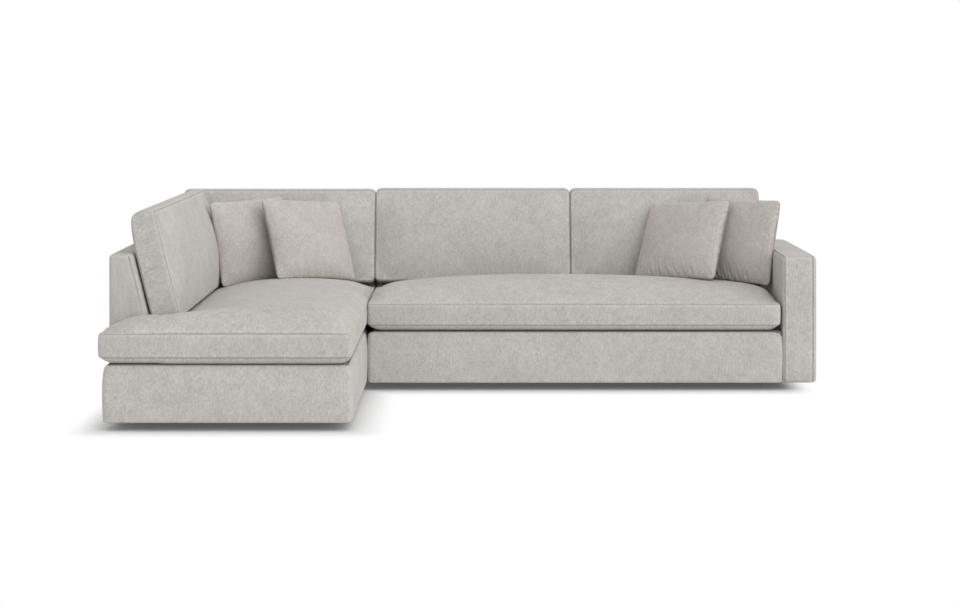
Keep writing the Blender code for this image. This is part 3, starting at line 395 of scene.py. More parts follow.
class Graph:
    """A node tree that is wired in short lines."""

    def __init__(self, tree: bpy.types.NodeTree) -> None:
        """Wraps the tree of a material, a world or a group."""
        self.tree = tree
        self.inlet: bpy.types.Node | None = None
        self.outlet: bpy.types.Node | None = None

    def feed(self, node: bpy.types.Node, sockets: dict[Any, Any]) -> None:
        """Sets or links a node's inputs: to each name or number, a value or an output socket."""
        for key, value in sockets.items():
            if isinstance(value, bpy.types.NodeSocket):
                self.tree.links.new(value, node.inputs[key])
            else:
                node.inputs[key].default_value = value

    def node(self, kind: str, sockets: dict[Any, Any] | None = None, **settings: Any) -> bpy.types.Node:
        """Adds a node of a kind, sets its own properties, then feeds its inputs."""
        made = self.tree.nodes.new(kind)
        for key, value in settings.items():
            setattr(made, key, value)
        self.feed(made, sockets or {})
        return made

    def group(self, name: str, sockets: dict[str, Any]) -> Any:
        """A node group's outputs."""
        return self.node("ShaderNodeGroup", sockets, node_tree=bpy.data.node_groups[name]).outputs

    def place(self) -> bpy.types.NodeSocket:
        """Object coordinates."""
        return self.node("ShaderNodeTexCoord").outputs["Object"]

    def math(self, operation: str, *values: Any) -> bpy.types.NodeSocket:
        """A Math node's output."""
        return self.node("ShaderNodeMath", dict(enumerate(values)), operation=operation).outputs[0]

    def scaled(self, vector: bpy.types.NodeSocket, factor: Any) -> bpy.types.NodeSocket:
        """The vector or colour times a factor."""
        return self.node("ShaderNodeVectorMath", {0: vector, "Scale": factor}, operation="SCALE").outputs[0]

    def stretched(self, vector: bpy.types.NodeSocket, across: float, along: float) -> bpy.types.NodeSocket:
        """The vector multiplied by (across, along, 1)."""
        sockets = {0: vector, 1: (across, along, 1.0)}
        return self.node("ShaderNodeVectorMath", sockets, operation="MULTIPLY").outputs[0]

    def noise(self, vector: bpy.types.NodeSocket, scale: float, detail: float) -> bpy.types.NodeSocket:
        """A noise texture's value, 0 to 1."""
        sockets = {"Vector": vector, "Scale": scale, "Detail": detail, "Roughness": 0.6}
        return self.node("ShaderNodeTexNoise", sockets).outputs[0]

    def centred(self, value: bpy.types.NodeSocket, gain: Any) -> bpy.types.NodeSocket:
        """The value less a half, times a gain."""
        return self.math("MULTIPLY", self.math("SUBTRACT", value, 0.5), gain)

    def mixed(self, share: Any, first: Any, second: Any) -> bpy.types.NodeSocket:
        """A colour between two, by share."""
        sockets = {0: share, 6: first, 7: second}
        return self.node("ShaderNodeMix", sockets, data_type="RGBA").outputs[2]

    def ramp(self, value: Any, low: float, high: float, start: float = 0.0, end: float = 1.0,
             **settings: Any) -> bpy.types.NodeSocket:
        """The value's way from low to high, as a number from start to end."""
        sockets = {"Value": value, "From Min": low, "From Max": high, "To Min": start, "To Max": end}
        return self.node("ShaderNodeMapRange", sockets, **settings).outputs[0]


def new_group(name: str, inputs: dict[str, tuple[str, Any]], outputs: dict[str, str]) -> Graph:
    """A shader node group with named sockets.

    Args:
        name: The group's name.
        inputs: Input name to its socket type and default.
        outputs: Output name to its socket type.

    Returns:
        The group's graph, with its inlet and outlet nodes.
    """
    tree = bpy.data.node_groups.new(name, "ShaderNodeTree")
    for label, (kind, default) in inputs.items():
        socket = tree.interface.new_socket(label, in_out="INPUT", socket_type=kind)
        socket.default_value = default
    for label, kind in outputs.items():
        tree.interface.new_socket(label, in_out="OUTPUT", socket_type=kind)
    graph = Graph(tree)
    graph.inlet = graph.node("NodeGroupInput")
    graph.outlet = graph.node("NodeGroupOutput")
    return graph


def slub_weave() -> None:
    """Makes the group for woven cloth: uneven warp streaks, short slubs, soft mottling and a plain weave.

    It takes cloth coordinates in metres and puts out Color, Height and Roughness.
    """
    inputs = {
        "Cloth": (VECTOR, (0.0, 0.0, 0.0)),
        "Base": (COLOUR, (0.5, 0.5, 0.5, 1.0)),
        "Warm": (COLOUR, (0.5, 0.48, 0.46, 1.0)),
        "Slub": (NUMBER, 0.1),
        "Mottle": (NUMBER, 0.1),
        "Yarns per metre": (NUMBER, 420.0),
    }
    g = new_group("slub_weave", inputs, {"Color": COLOUR, "Height": NUMBER, "Roughness": NUMBER})
    given = g.inlet.outputs
    cloth = given["Cloth"]
    streak = g.noise(g.stretched(cloth, 130.0, 32.0), 1.0, 2.0)
    slub = g.noise(g.stretched(cloth, 260.0, 75.0), 1.0, 1.0)
    weft = g.noise(g.stretched(cloth, 55.0, 230.0), 1.0, 1.0)
    mottle = g.noise(g.stretched(cloth, 24.0, 20.0), 1.0, 4.0)
    cloud = g.noise(g.stretched(cloth, 4.5, 4.0), 1.0, 2.0)
    threads = g.math("ADD", g.centred(streak, 0.8), g.centred(slub, 1.0))
    threads = g.math("ADD", threads, g.centred(weft, 0.6))
    tone = g.math("MULTIPLY", threads, given["Slub"])
    patches = g.math("ADD", g.centred(mottle, 1.0), g.centred(cloud, 0.7))
    tone = g.math("ADD", tone, g.math("MULTIPLY", patches, given["Mottle"]))
    tone = g.math("ADD", tone, 1.0)
    tinted = g.mixed(g.ramp(mottle, 0.35, 0.7), given["Base"], given["Warm"])
    parts = g.node("ShaderNodeSeparateXYZ", {0: cloth}).outputs
    turns = g.math("MULTIPLY", given["Yarns per metre"], math.pi)
    warp_yarn = g.math("SINE", g.math("MULTIPLY", parts[0], turns))
    weft_yarn = g.math("SINE", g.math("MULTIPLY", parts[1], turns))
    weave = g.math("MULTIPLY", warp_yarn, weft_yarn)
    height = g.math("ADD", g.math("MULTIPLY", weave, 0.25), g.math("MULTIPLY", threads, 0.9))
    rough = g.math("ADD", g.centred(slub, 0.12), 0.9)
    g.feed(g.outlet, {"Color": g.scaled(tinted, tone), "Height": height, "Roughness": rough})


def seam_shade_and_highlight() -> None:
    """Makes the group for painted shade in a seam's groove, and a painted highlight on the strip beside it
    where the cloth turns in.

    It takes the distance to the seam and puts out Line, the painted shade, and Lip, the painted highlight, 0
    to 1.
    """
    g = new_group("seam_shade_and_highlight", {"Distance": (NUMBER, 1.0)}, {"Line": NUMBER, "Lip": NUMBER})
    away = g.inlet.outputs["Distance"]
    # Painted shade in the seam's groove: full on the seam, gone 3.2 mm from it.
    line = g.ramp(away, 0.0, 0.0032, 1.0, 0.0)
    # Painted highlight on the cloth's roll, 4 to 18 mm from the seam.
    lip_highlight = g.math("MULTIPLY", g.ramp(away, 0.004, 0.008), g.ramp(away, 0.010, 0.018, 1.0, 0.0))
    g.feed(g.outlet, {"Line": line, "Lip": lip_highlight})


def sawn_grain() -> None:
    """Makes the group for timber: grain in wavy lines, with darker pores.

    It takes Object coordinates and puts out Color, Height and Roughness.
    """
    inputs = {
        "Place": (VECTOR, (0.0, 0.0, 0.0)),
        "Pale": (COLOUR, (0.6, 0.45, 0.28, 1.0)),
        "Dark": (COLOUR, (0.4, 0.28, 0.16, 1.0)),
        "Lines per metre": (NUMBER, 60.0),
    }
    g = new_group("sawn_grain", inputs, {"Color": COLOUR, "Height": NUMBER, "Roughness": NUMBER})
    given = g.inlet.outputs
    warped = g.noise(g.stretched(given["Place"], 2.0, 2.0), 3.0, 3.0)
    parts = g.node("ShaderNodeSeparateXYZ", {0: given["Place"]}).outputs
    across = g.math("ADD", parts[2], g.math("MULTIPLY", warped, 0.06))
    turns = g.math("MULTIPLY", given["Lines per metre"], 6.283)
    rings = g.math("SINE", g.math("MULTIPLY", across, turns))
    pores = g.noise(given["Place"], 300.0, 2.0)
    share = g.math("ADD", g.math("MULTIPLY", rings, 0.3), g.math("MULTIPLY", pores, 0.8))
    rough = g.math("ADD", g.math("MULTIPLY", pores, 0.2), 0.55)
    colour = g.mixed(share, given["Pale"], given["Dark"])
    g.feed(g.outlet, {"Color": colour, "Height": share, "Roughness": rough})


def drawn_steel() -> None:
    """Makes the group for plated steel: fine streaks and a few dull spots.

    It takes Object coordinates and puts out Color and Roughness.
    """
    inputs = {"Place": (VECTOR, (0.0, 0.0, 0.0)), "Base": (COLOUR, (0.5, 0.5, 0.5, 1.0))}
    g = new_group("drawn_steel", inputs, {"Color": COLOUR, "Roughness": NUMBER})
    given = g.inlet.outputs
    streak = g.noise(g.stretched(given["Place"], 40.0, 600.0), 1.0, 2.0)
    spots = g.noise(given["Place"], 90.0, 3.0)
    tone = g.math("ADD", g.centred(streak, 0.3), g.math("ADD", g.centred(spots, 0.3), 1.0))
    rough = g.math("ADD", g.math("MULTIPLY", spots, 0.35), 0.22)
    g.feed(g.outlet, {"Color": g.scaled(given["Base"], tone), "Roughness": rough})


def linear(red: int, green: int, blue: int) -> tuple[float, float, float, float]:
    """An sRGB colour of 0 to 255 as linear values with alpha."""
    values = [((c / 255 + 0.055) / 1.055) ** 2.4 for c in (red, green, blue)]
    return (values[0], values[1], values[2], 1.0)


def empty_material(name: str) -> tuple[bpy.types.Material, Graph, bpy.types.Node]:
    """A material with only a Principled shader, its graph and that shader."""
    made = bpy.data.materials.new(name)
    made.use_nodes = True
    return made, Graph(made.node_tree), made.node_tree.nodes["Principled BSDF"]


@dataclass(frozen=True)
class ClothFinish:
    """A woven cloth.

    Attributes:
        slot: The record's slot.
        base: Its colour, sRGB.
        warm: The colour that it drifts to in patches, sRGB.
        slub: How much the yarns vary.
        mottle: How much the patches vary.
        yarns: Yarns per metre.
        sheen: Weight of the sheen of loose fibres.
        lip_highlight: Brightness of the painted highlight beside a seam.
        groove: Brightness of the painted shade in a seam.
        bump: Strength of the weave's relief.
        relief: Depth of it.
    """

    slot: Slot
    base: tuple[int, int, int]
    warm: tuple[int, int, int]
    slub: float = 0.5
    mottle: float = 0.36
    yarns: float = 420.0
    sheen: float = 0.12
    lip_highlight: float = 1.06
    groove: float = 0.55
    bump: float = 0.35
    relief: float = 0.0012

    def material(self) -> bpy.types.Material:
        """Builds the material from the weave group, with the seam group's painted shade and highlight."""
        made, g, shader = empty_material(self.slot.value)
        sockets = {
            "Cloth": g.node("ShaderNodeUVMap", uv_map="cloth").outputs[0],
            "Base": linear(*self.base),
            "Warm": linear(*self.warm),
            "Slub": self.slub,
            "Mottle": self.mottle,
            "Yarns per metre": self.yarns,
        }
        weave = g.group("slub_weave", sockets)
        away = g.node("ShaderNodeAttribute", attribute_name="seam").outputs["Fac"]
        seam = g.group("seam_shade_and_highlight", {"Distance": away})
        # Painted light at the seams: a highlight on the strip beside each seam, and shade in the seam itself.
        highlighted = g.mixed(seam["Lip"], weave["Color"], g.scaled(weave["Color"], self.lip_highlight))
        raised = {"Height": weave["Height"], "Strength": self.bump, "Distance": self.relief}
        looks = {
            "Base Color": g.mixed(seam["Line"], highlighted, g.scaled(weave["Color"], self.groove)),
            "Roughness": weave["Roughness"],
            "Normal": g.node("ShaderNodeBump", raised).outputs[0],
            "Specular IOR Level": 0.15,
            "Sheen Weight": self.sheen,
            "Sheen Roughness": 0.5,
        }
        g.feed(shader, looks)
        return made


@dataclass(frozen=True)
class TimberFinish:
    """Sawn or stained timber.

    Attributes:
        slot: The record's slot.
        pale: Its lighter colour, sRGB.
        dark: Its darker colour, sRGB.
        bump: Strength of the grain's relief.
        relief: Depth of it.
    """

    slot: Slot
    pale: tuple[int, int, int]
    dark: tuple[int, int, int]
    bump: float = 0.2
    relief: float = 0.001

    def material(self) -> bpy.types.Material:
        """Builds the material from the grain group."""
        made, g, shader = empty_material(self.slot.value)
        sockets = {"Place": g.place(), "Pale": linear(*self.pale), "Dark": linear(*self.dark)}
        grain = g.group("sawn_grain", sockets)
        raised = {"Height": grain["Height"], "Strength": self.bump, "Distance": self.relief}
        normal = g.node("ShaderNodeBump", raised).outputs[0]
        g.feed(shader, {"Base Color": grain["Color"], "Roughness": grain["Roughness"], "Normal": normal})
        return made


@dataclass(frozen=True)
class SteelFinish:
    """Drawn wire or plated sheet.

    Attributes:
        slot: The record's slot.
        base: Its colour, sRGB.
    """

    slot: Slot
    base: tuple[int, int, int]

    def material(self) -> bpy.types.Material:
        """Builds the material from the steel group."""
        made, g, shader = empty_material(self.slot.value)
        steel = g.group("drawn_steel", {"Place": g.place(), "Base": linear(*self.base)})
        g.feed(shader, {"Base Color": steel["Color"], "Roughness": steel["Roughness"], "Metallic": 1.0})
        return made


FINISHES = (
    ClothFinish(Slot.COVER, (191, 188, 184), (192, 187, 181)),
    ClothFinish(Slot.CUSHION, (189, 186, 182), (190, 185, 179)),
    ClothFinish(Slot.PILLOW, (189, 184, 179), (190, 183, 177)),
    ClothFinish(Slot.DECK, (152, 148, 143), (150, 145, 139), slub=0.06, mottle=0.06, yarns=900.0),
    ClothFinish(Slot.DUST, (70, 70, 72), (74, 73, 73), slub=0.1, mottle=0.3, yarns=1500.0, sheen=0.0),
    TimberFinish(Slot.TIMBER, (206, 176, 134), (164, 128, 86)),
    TimberFinish(Slot.FOOT, (52, 42, 36), (30, 24, 21)),
    SteelFinish(Slot.SPRING, (122, 122, 124)),
    SteelFinish(Slot.CONNECTOR, (158, 158, 160)),
)


class Wardrobe:
    """The materials by slot."""

    def __init__(self) -> None:
        """Builds the node groups once, then a material for each finish."""
        for build in (slub_weave, seam_shade_and_highlight, sawn_grain, drawn_steel):
            build()
        self.materials = {finish.slot: finish.material() for finish in FINISHES}

    def dress(self, piece: bpy.types.Object, slot: Slot) -> None:
        """Gives a new piece its material and its slot."""
        piece.data.materials.append(self.materials[slot])

    def dress_node(self, node: bpy.types.Object, slot: Slot) -> None:
        """Puts the slot's material on a CAD node that stays in view."""
        node.data.materials.clear()
        node.data.materials.append(self.materials[slot])


def finish_soft(shell: Shell, name: str, body: Body, nodes: Sequence[str], wardrobe: Wardrobe,
                slot: Slot = Slot.COVER, fill: float = 0.95, stitching: Stitching = Stitching(),
                swelling: Swelling | None = None) -> bpy.types.Object:
    """Makes a padded piece from its shell: swells it, sews it, dresses it and puts it on its body.

    Args:
        shell: The piece's surface.
        name: The piece's name.
        body: The body that it rides on.
        nodes: The CAD nodes that it replaces.
        wardrobe: The materials.
        slot: The record's slot.
        fill: How full the padding is, 0 to 1; not used.
        stitching: How its seams are drawn in.
        swelling: How the simulation swells it, or None for a tight cover.

    Returns:
        The finished piece.
    """
    piece = shell.to_object(name)
    if swelling is not None:
        swelling.run(piece, shell.hold)
    stitching.draw_in(piece)
    soften(piece)
    wardrobe.dress(piece, slot)
    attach(piece, body.value)
    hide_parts(*nodes)
    log.info("%s: %d points", name, len(shell.points))
    return piece


@dataclass
class BoxedCushion:
    """A boxed cushion: two panels sewn to a band. Its plan is one rectangle, or two that make an L.

    Attributes:
        name: The piece's name.
        node: The CAD node that it replaces.
        body: The body that it rides on.
        origin: Where the plan's (0, 0) lies on the panel that rests on something.
        axes: Unit vectors across, along and out of the cushion, as rows.
        rects: The plan's rectangles, ((across from, to), (along from, to)).
        outline: The plan's corners, turning left.
        rise: How far the outer panel swells past its seam at each plan point.
        boxing: Width of the band.
        roll: How far the other panel rolls in before it lies flat.
        roll_run: Distance over which it rolls.
        crest: How far that panel comes out at the plan's far end.
        crest_run: Distance over which it does.
        corner: Radius of the plan's corners.
        bulge: How far the band swells.
        top_bulge: How far it swells on the side at the plan's far end.
        draw: How far the sides draw in halfway along, across and along.
        step: Spacing of the grid.
        slant: Shift of the far end across for each metre along, for an end cut to a rake.
        smooth_right: Whether the outer seam is too soft to see on the right.
        fill: How full the cushion is, 0 to 1.
        slot: The record's slot.
        swelling: How the simulation swells it.
        stitching: How its seams are drawn in.
    """

    name: str
    node: str
    body: Body
    origin: Array
    axes: Array
    rects: Sequence[Rect]
    outline: Sequence[tuple[float, float]]
    rise: Rise
    boxing: float
    roll: float
    roll_run: float = 0.08
    crest: float = 0.0
    crest_run: float = 0.2
    corner: float = 0.018
    bulge: float = 0.004
    top_bulge: float = 0.004
    draw: tuple[float, float] = (0.0, 0.0)
    step: float = 0.016
    slant: float = 0.0
    smooth_right: bool = False
    fill: float = 0.8
    slot: Slot = Slot.CUSHION
    swelling: Swelling = Swelling()
    stitching: Stitching = Stitching()

    def lines(self, way: int) -> Array:
        """Grid lines across (0) or along (1), close together at each side of the plan's rectangles."""
        stops = np.unique([stop for rect in self.rects for stop in rect[way]])
        runs = [graded(low, high, self.step) for low, high in zip(stops[:-1], stops[1:])]
        return np.unique(np.concatenate(runs))

    def depth(self, u: Array, v: Array) -> Array:
        """Distance from each plan point to the outline: the best rectangle's least distance to a side."""
        inside = [
            np.minimum.reduce((u - u0, u1 - u, v - v0, v1 - v)) for (u0, u1), (v0, v1) in self.rects
        ]
        return np.maximum.reduce(inside)

    def rolled(self, u: Array, v: Array) -> Array:
        """The other panel's stand-off: roll x (1 - swell) + crest x the far end's nearness squared."""
        share = joined([swell(u, v, rect, even_runs(self.roll_run)) for rect in self.rects])
        far = max(rect[1][1] for rect in self.rects)
        near = np.clip(1 - (far - v) / self.crest_run, 0, 1)
        return self.roll * (1 - share) + self.crest * near**2

    def rounded(self, plan: Array) -> Array:
        """The plan with its outer corners rounded."""
        plan = plan.copy()
        corners = np.asarray(self.outline)
        before, after = np.roll(corners, 1, axis=0), np.roll(corners, -1, axis=0)
        turn = np.cross(corners - before, after - corners)
        inward = np.sign(before + after - 2 * corners)
        for corner, side in zip(corners[turn > 0], inward[turn > 0]):
            round_corner(plan, corner, side, self.corner)
        return plan

    def ring(self, us: Array, vs: Array) -> tuple[Array, Array]:
        """Grid numbers of the outline's points in order, turning left, without the closing one."""
        corners = [(np.abs(us - u).argmin(), np.abs(vs - v).argmin()) for u, v in self.outline]
        rows, columns = [], []
        for (i, j), (next_i, next_j) in zip(corners, corners[1:] + corners[:1]):
            count = max(abs(next_i - i), abs(next_j - j))
            rows.append(np.linspace(i, next_i, count, endpoint=False).round().astype(int))
            columns.append(np.linspace(j, next_j, count, endpoint=False).round().astype(int))
        return np.concatenate(rows), np.concatenate(columns)

    def placed(self, local: Array) -> Array:
        """Places of cushion coordinates, once the sides draw in and the far end is slanted.

        A side's draw is greatest halfway along: 4 s (1 - s) of it, where s is the share along the side.
        """
        low = np.min([[rect[0][0], rect[1][0]] for rect in self.rects], axis=0)
        high = np.max([[rect[0][1], rect[1][1]] for rect in self.rects], axis=0)
        half = (high - low) / 2
        share = np.clip((local[..., :2] - low) / (high - low), 0, 1)
        drawn = np.array(self.draw) * 4 * share[..., ::-1] * (1 - share[..., ::-1])
        local = local.copy()
        local[..., :2] -= drawn * (local[..., :2] - low - half) / half
        end = np.clip(2 * share[..., 0] - 1, 0, 1) ** 3
        local[..., 0] += self.slant * end * local[..., 1]
        return self.origin + local @ self.axes

    def shell(self) -> Shell:
        """The cushion before it is simulated.

        The outer panel lies at roll + boxing + rise, and the band joins the panels' edges, pushed out by
        bulge x (1 - (2 t - 1) squared) at share t of its width. The rise starts lower by what the simulation
        adds.

        Returns:
            The welded shell.
        """
        us, vs = self.lines(0), self.lines(1)
        u, v = np.meshgrid(us, vs, indexing="ij")
        mid_u, mid_v = np.meshgrid((us[1:] + us[:-1]) / 2, (vs[1:] + vs[:-1]) / 2, indexing="ij")
        filled = self.depth(mid_u, mid_v) > 0
        plan = self.rounded(np.stack((u, v), axis=-1))
        away = np.abs(self.depth(u, v))
        rise = self.rise(u, v)
        start = 1 - self.swelling.gain / rise.max()
        outer = self.roll + self.boxing + start * rise
        inner = self.rolled(u, v)
        cloth = np.stack((u, v), axis=-1)
        rows, columns = self.ring(us, vs)
        edge = plan[rows, columns]
        along = np.roll(edge, -1, axis=0) - np.roll(edge, 1, axis=0)
        outward = np.stack((along[:, 1], -along[:, 0]), axis=-1)
        outward /= np.linalg.norm(outward, axis=1, keepdims=True)
        paces = np.linalg.norm(np.roll(edge, -1, axis=0) - edge, axis=1)
        length = np.concatenate(([0.0], np.cumsum(paces)))
        levels = graded(0.0, self.boxing, self.step, EDGE_LINES[:3])
        around = np.concatenate((edge, edge[:1]))
        facing = np.concatenate((outward, outward[:1]))
        upward = np.maximum(facing[:, 1], 0.0) ** 2
        reach = self.bulge + (self.top_bulge - self.bulge) * upward
        push = reach[:, None] * (1 - (2 * levels / self.boxing - 1) ** 2)
        sides = around[:, None, :] + facing[:, None, :] * push[:, :, None]
        lower = np.append(inner[rows, columns], inner[rows[0], columns[0]])[:, None]
        heights = lower + levels / self.boxing * (self.roll + self.boxing - lower)
        paths = np.broadcast_to(length[:, None], heights.shape)
        rises = np.broadcast_to(levels, heights.shape)
        band_cloth = np.stack((paths, rises), axis=-1)
        band_seam = np.broadcast_to(np.minimum(levels, self.boxing - levels), heights.shape)
        if self.smooth_right:
            end = us[-1]
            away_outer = np.where(end - u <= away, FAR_FROM_SEAM, away)
            band_seam = np.where(around[:, :1] >= end - self.corner / 2, levels, band_seam)
        else:
            away_outer = away
        return Shell(
            [
                Patch(self.placed(np.dstack((plan, outer))), cloth, away_outer, filled),
                Patch(self.placed(np.dstack((plan, inner))), cloth, away, filled, flip=True, hold=1.0),
                Patch(self.placed(np.dstack((sides, heights))), band_cloth, band_seam, hold=1.0),
            ]
        )

    def build(self, wardrobe: Wardrobe) -> bpy.types.Object:
        """Makes the cushion."""
        return finish_soft(self.shell(), self.name, self.body, [self.node], wardrobe, self.slot, self.fill,
                           self.stitching, self.swelling)


def outline_of(rect: Rect) -> list[tuple[float, float]]:
    """A rectangle's corners, turning left."""
    (u0, u1), (v0, v1) = rect
    return [(u0, v0), (u1, v0), (u1, v1), (u0, v1)]


def plan_of_l(low: Vector, high: Vector, gap: float) -> tuple[list[Rect], list[tuple[float, float]]]:
    """An L round the left back: its part beside the sofa, its part before that back, and its corners.

    Args:
        low: The plan's least corner.
        high: Its greatest corner.
        gap: How far it stays clear of the left back.

    Returns:
        The two rectangles, and the corners, turning left.
    """
    back_low, back_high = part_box("bumper_left_back_cover")
    notch_x, notch_y = back_high.x + gap, back_low.y - gap
    beside = ((notch_x, high.x), (low.y, high.y))
    before = ((low.x, high.x), (low.y, notch_y))
    outline = [(low.x, low.y), (high.x, low.y), (high.x, high.y)]
    outline += [(notch_x, high.y), (notch_x, notch_y), (low.x, notch_y)]
    return [beside, before], outline


@dataclass(frozen=True)
class SeatSizes:
    """Sizes of the two seat cushions.

    Attributes:
        roll: Height of the lower seam above the deck.
        roll_run: Distance over which the underside comes down to the deck.
        boxing: Height of the band.
        clearance: Gap between the bumper seat's notch and the back that it goes round.
        shoulder: How far the bench seat swells close to its sides.
        shoulder_runs: Distances over which it does.
        end_run: The distance over which it does at the arm, on the crest behind its front edge.
        crest_in: Distance of the crest from the front.
        crest_reach: Distance over which the crest fades.
        dome: How much further it swells towards its middle.
        dome_runs: Distances over which it does.
        main_shoulder: How far the bumper seat's part beside the sofa swells close to its sides.
        main_shoulder_runs: Distances over which it does.
        main_dome: How much further it swells.
        main_dome_runs: Distances over which it does.
        wing_runs: Distances over which the part before the left back swells.
        wing_crown: How far that part swells behind its front edge.
        main_ridge: How much higher the other part does there.
        ridge_in: Distance of the ridge from the front.
        ridge_reach: Distance over which the ridge fades.
        bench_in: How far the bench seat stops short of the arm.
        swelling: How the simulation swells them.
    """

    roll: float = 0.029
    roll_run: float = 0.06
    boxing: float = 0.1
    clearance: float = 0.002
    shoulder: float = 0.05
    shoulder_runs: Runs = ((0.1, 0.15), (0.3, 0.48))
    end_run: float = 0.055
    crest_in: float = 0.24
    crest_reach: float = 0.17
    dome: float = 0.054
    dome_runs: Runs = ((0.8, 1.1), (0.3, 0.48))
    main_shoulder: float = 0.054
    main_shoulder_runs: Runs = ((0.45, 0.06), (0.2, 0.5))
    main_dome: float = 0.029
    main_dome_runs: Runs = ((0.45, 0.4), (0.2, 0.5))
    wing_runs: Runs = ((0.2, 0.14), (0.17, 0.05))
    wing_crown: float = 0.072
    main_ridge: float = 0.026
    ridge_in: float = 0.17
    ridge_reach: float = 0.12
    bench_in: float = 0.012
    swelling: Swelling = Swelling(cap=0.008, gain=0.007)

    def bench(self) -> BoxedCushion:
        """The sofa section's one long seat cushion: a low dome on steeper shoulders."""
        low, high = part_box("bench_seat_cushion")
        rect = ((low.x, high.x - self.bench_in), (low.y, high.y))

        def rise(x: Array, y: Array) -> Array:
            """Shoulder x swell over short runs, plus dome x swell over long ones."""
            crest = bell(y - low.y - self.crest_in, self.crest_reach)
            (left, right), along = self.shoulder_runs
            short = swell(x, y, rect, ((left, right + (self.end_run - right) * crest), along))
            return self.shoulder * short + self.dome * swell(x, y, rect, self.dome_runs)

        return BoxedCushion(
            "bench_seat", "bench_seat_cushion", Body.BENCH_SEAT, np.array((0.0, 0.0, low.z)), np.eye(3),
            [rect], outline_of(rect), rise, self.boxing, self.roll, self.roll_run, swelling=self.swelling,
        )

    def bumper(self) -> BoxedCushion:
        """The L-shaped seat cushion, which passes in front of the left back."""
        low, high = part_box("bumper_seat_cushion")
        (main, wing), outline = plan_of_l(low, high, self.clearance)
        crown = self.main_shoulder + self.main_dome

        def rise(x: Array, y: Array) -> Array:
            """Both parts' joined shares, times the crown and a bell-shaped ridge behind the front edge."""
            short = swell(x, y, main, self.main_shoulder_runs)
            long = swell(x, y, main, self.main_dome_runs)
            beside = (self.main_shoulder * short + self.main_dome * long) / crown
            share = joined([beside, swell(x, y, wing, self.wing_runs)])
            ridge = bell(y - low.y - self.ridge_in, self.ridge_reach)
            return share * (crown + ridge * (self.wing_crown - crown + self.main_ridge * beside))

        return BoxedCushion(
            "bumper_seat", "bumper_seat_cushion", Body.BUMPER_SEAT, np.array((0.0, 0.0, low.z)), np.eye(3),
            [main, wing], outline, rise, self.boxing, self.roll, self.roll_run, smooth_right=True,
            swelling=self.swelling,
        )


@dataclass(frozen=True)
class Crease:
    """A soft fold down the left cushion's face.

    Attributes:
        at: Its share along the cushion, at the foot and at the top.
        depth: How deep it is.
        width: How wide it is.
        waves: Half waves of its fade from the foot to the top.
        fade: Power of the fade: the lower, the longer the fold keeps its depth.
    """

    at: tuple[float, float] = (0.5, 0.55)
    depth: float = 0.02
    width: float = 0.085
    waves: float = 1.1
    fade: float = 0.7

    def depth_at(self, u: Array, v: Array, rect: Rect) -> Array:
        """The fold's depth: a bell curve across it, which fades out at the foot and the top."""
        (u0, u1), (v0, v1) = rect
        share = np.clip((v - v0) / (v1 - v0), 0, 1)
        middle = u0 + (u1 - u0) * (self.at[0] + (self.at[1] - self.at[0]) * share)
        kept = np.sin(np.pi * np.clip(share * self.waves, 0, 1)) ** self.fade
        return self.depth * bell(u - middle, self.width) * kept


@dataclass(frozen=True)
class BackPlace:
    """Which back cushion it is.

    Attributes:
        name: The piece's name.
        node: The CAD node that it replaces.
        body: The body that it rides on.
        along_left: Whether it leans on the left back.
        ends: How far its two ends stand past the CAD node's.
    """

    name: str
    node: str
    body: Body
    along_left: bool = False
    ends: tuple[float, float] = (0.0, 0.0)


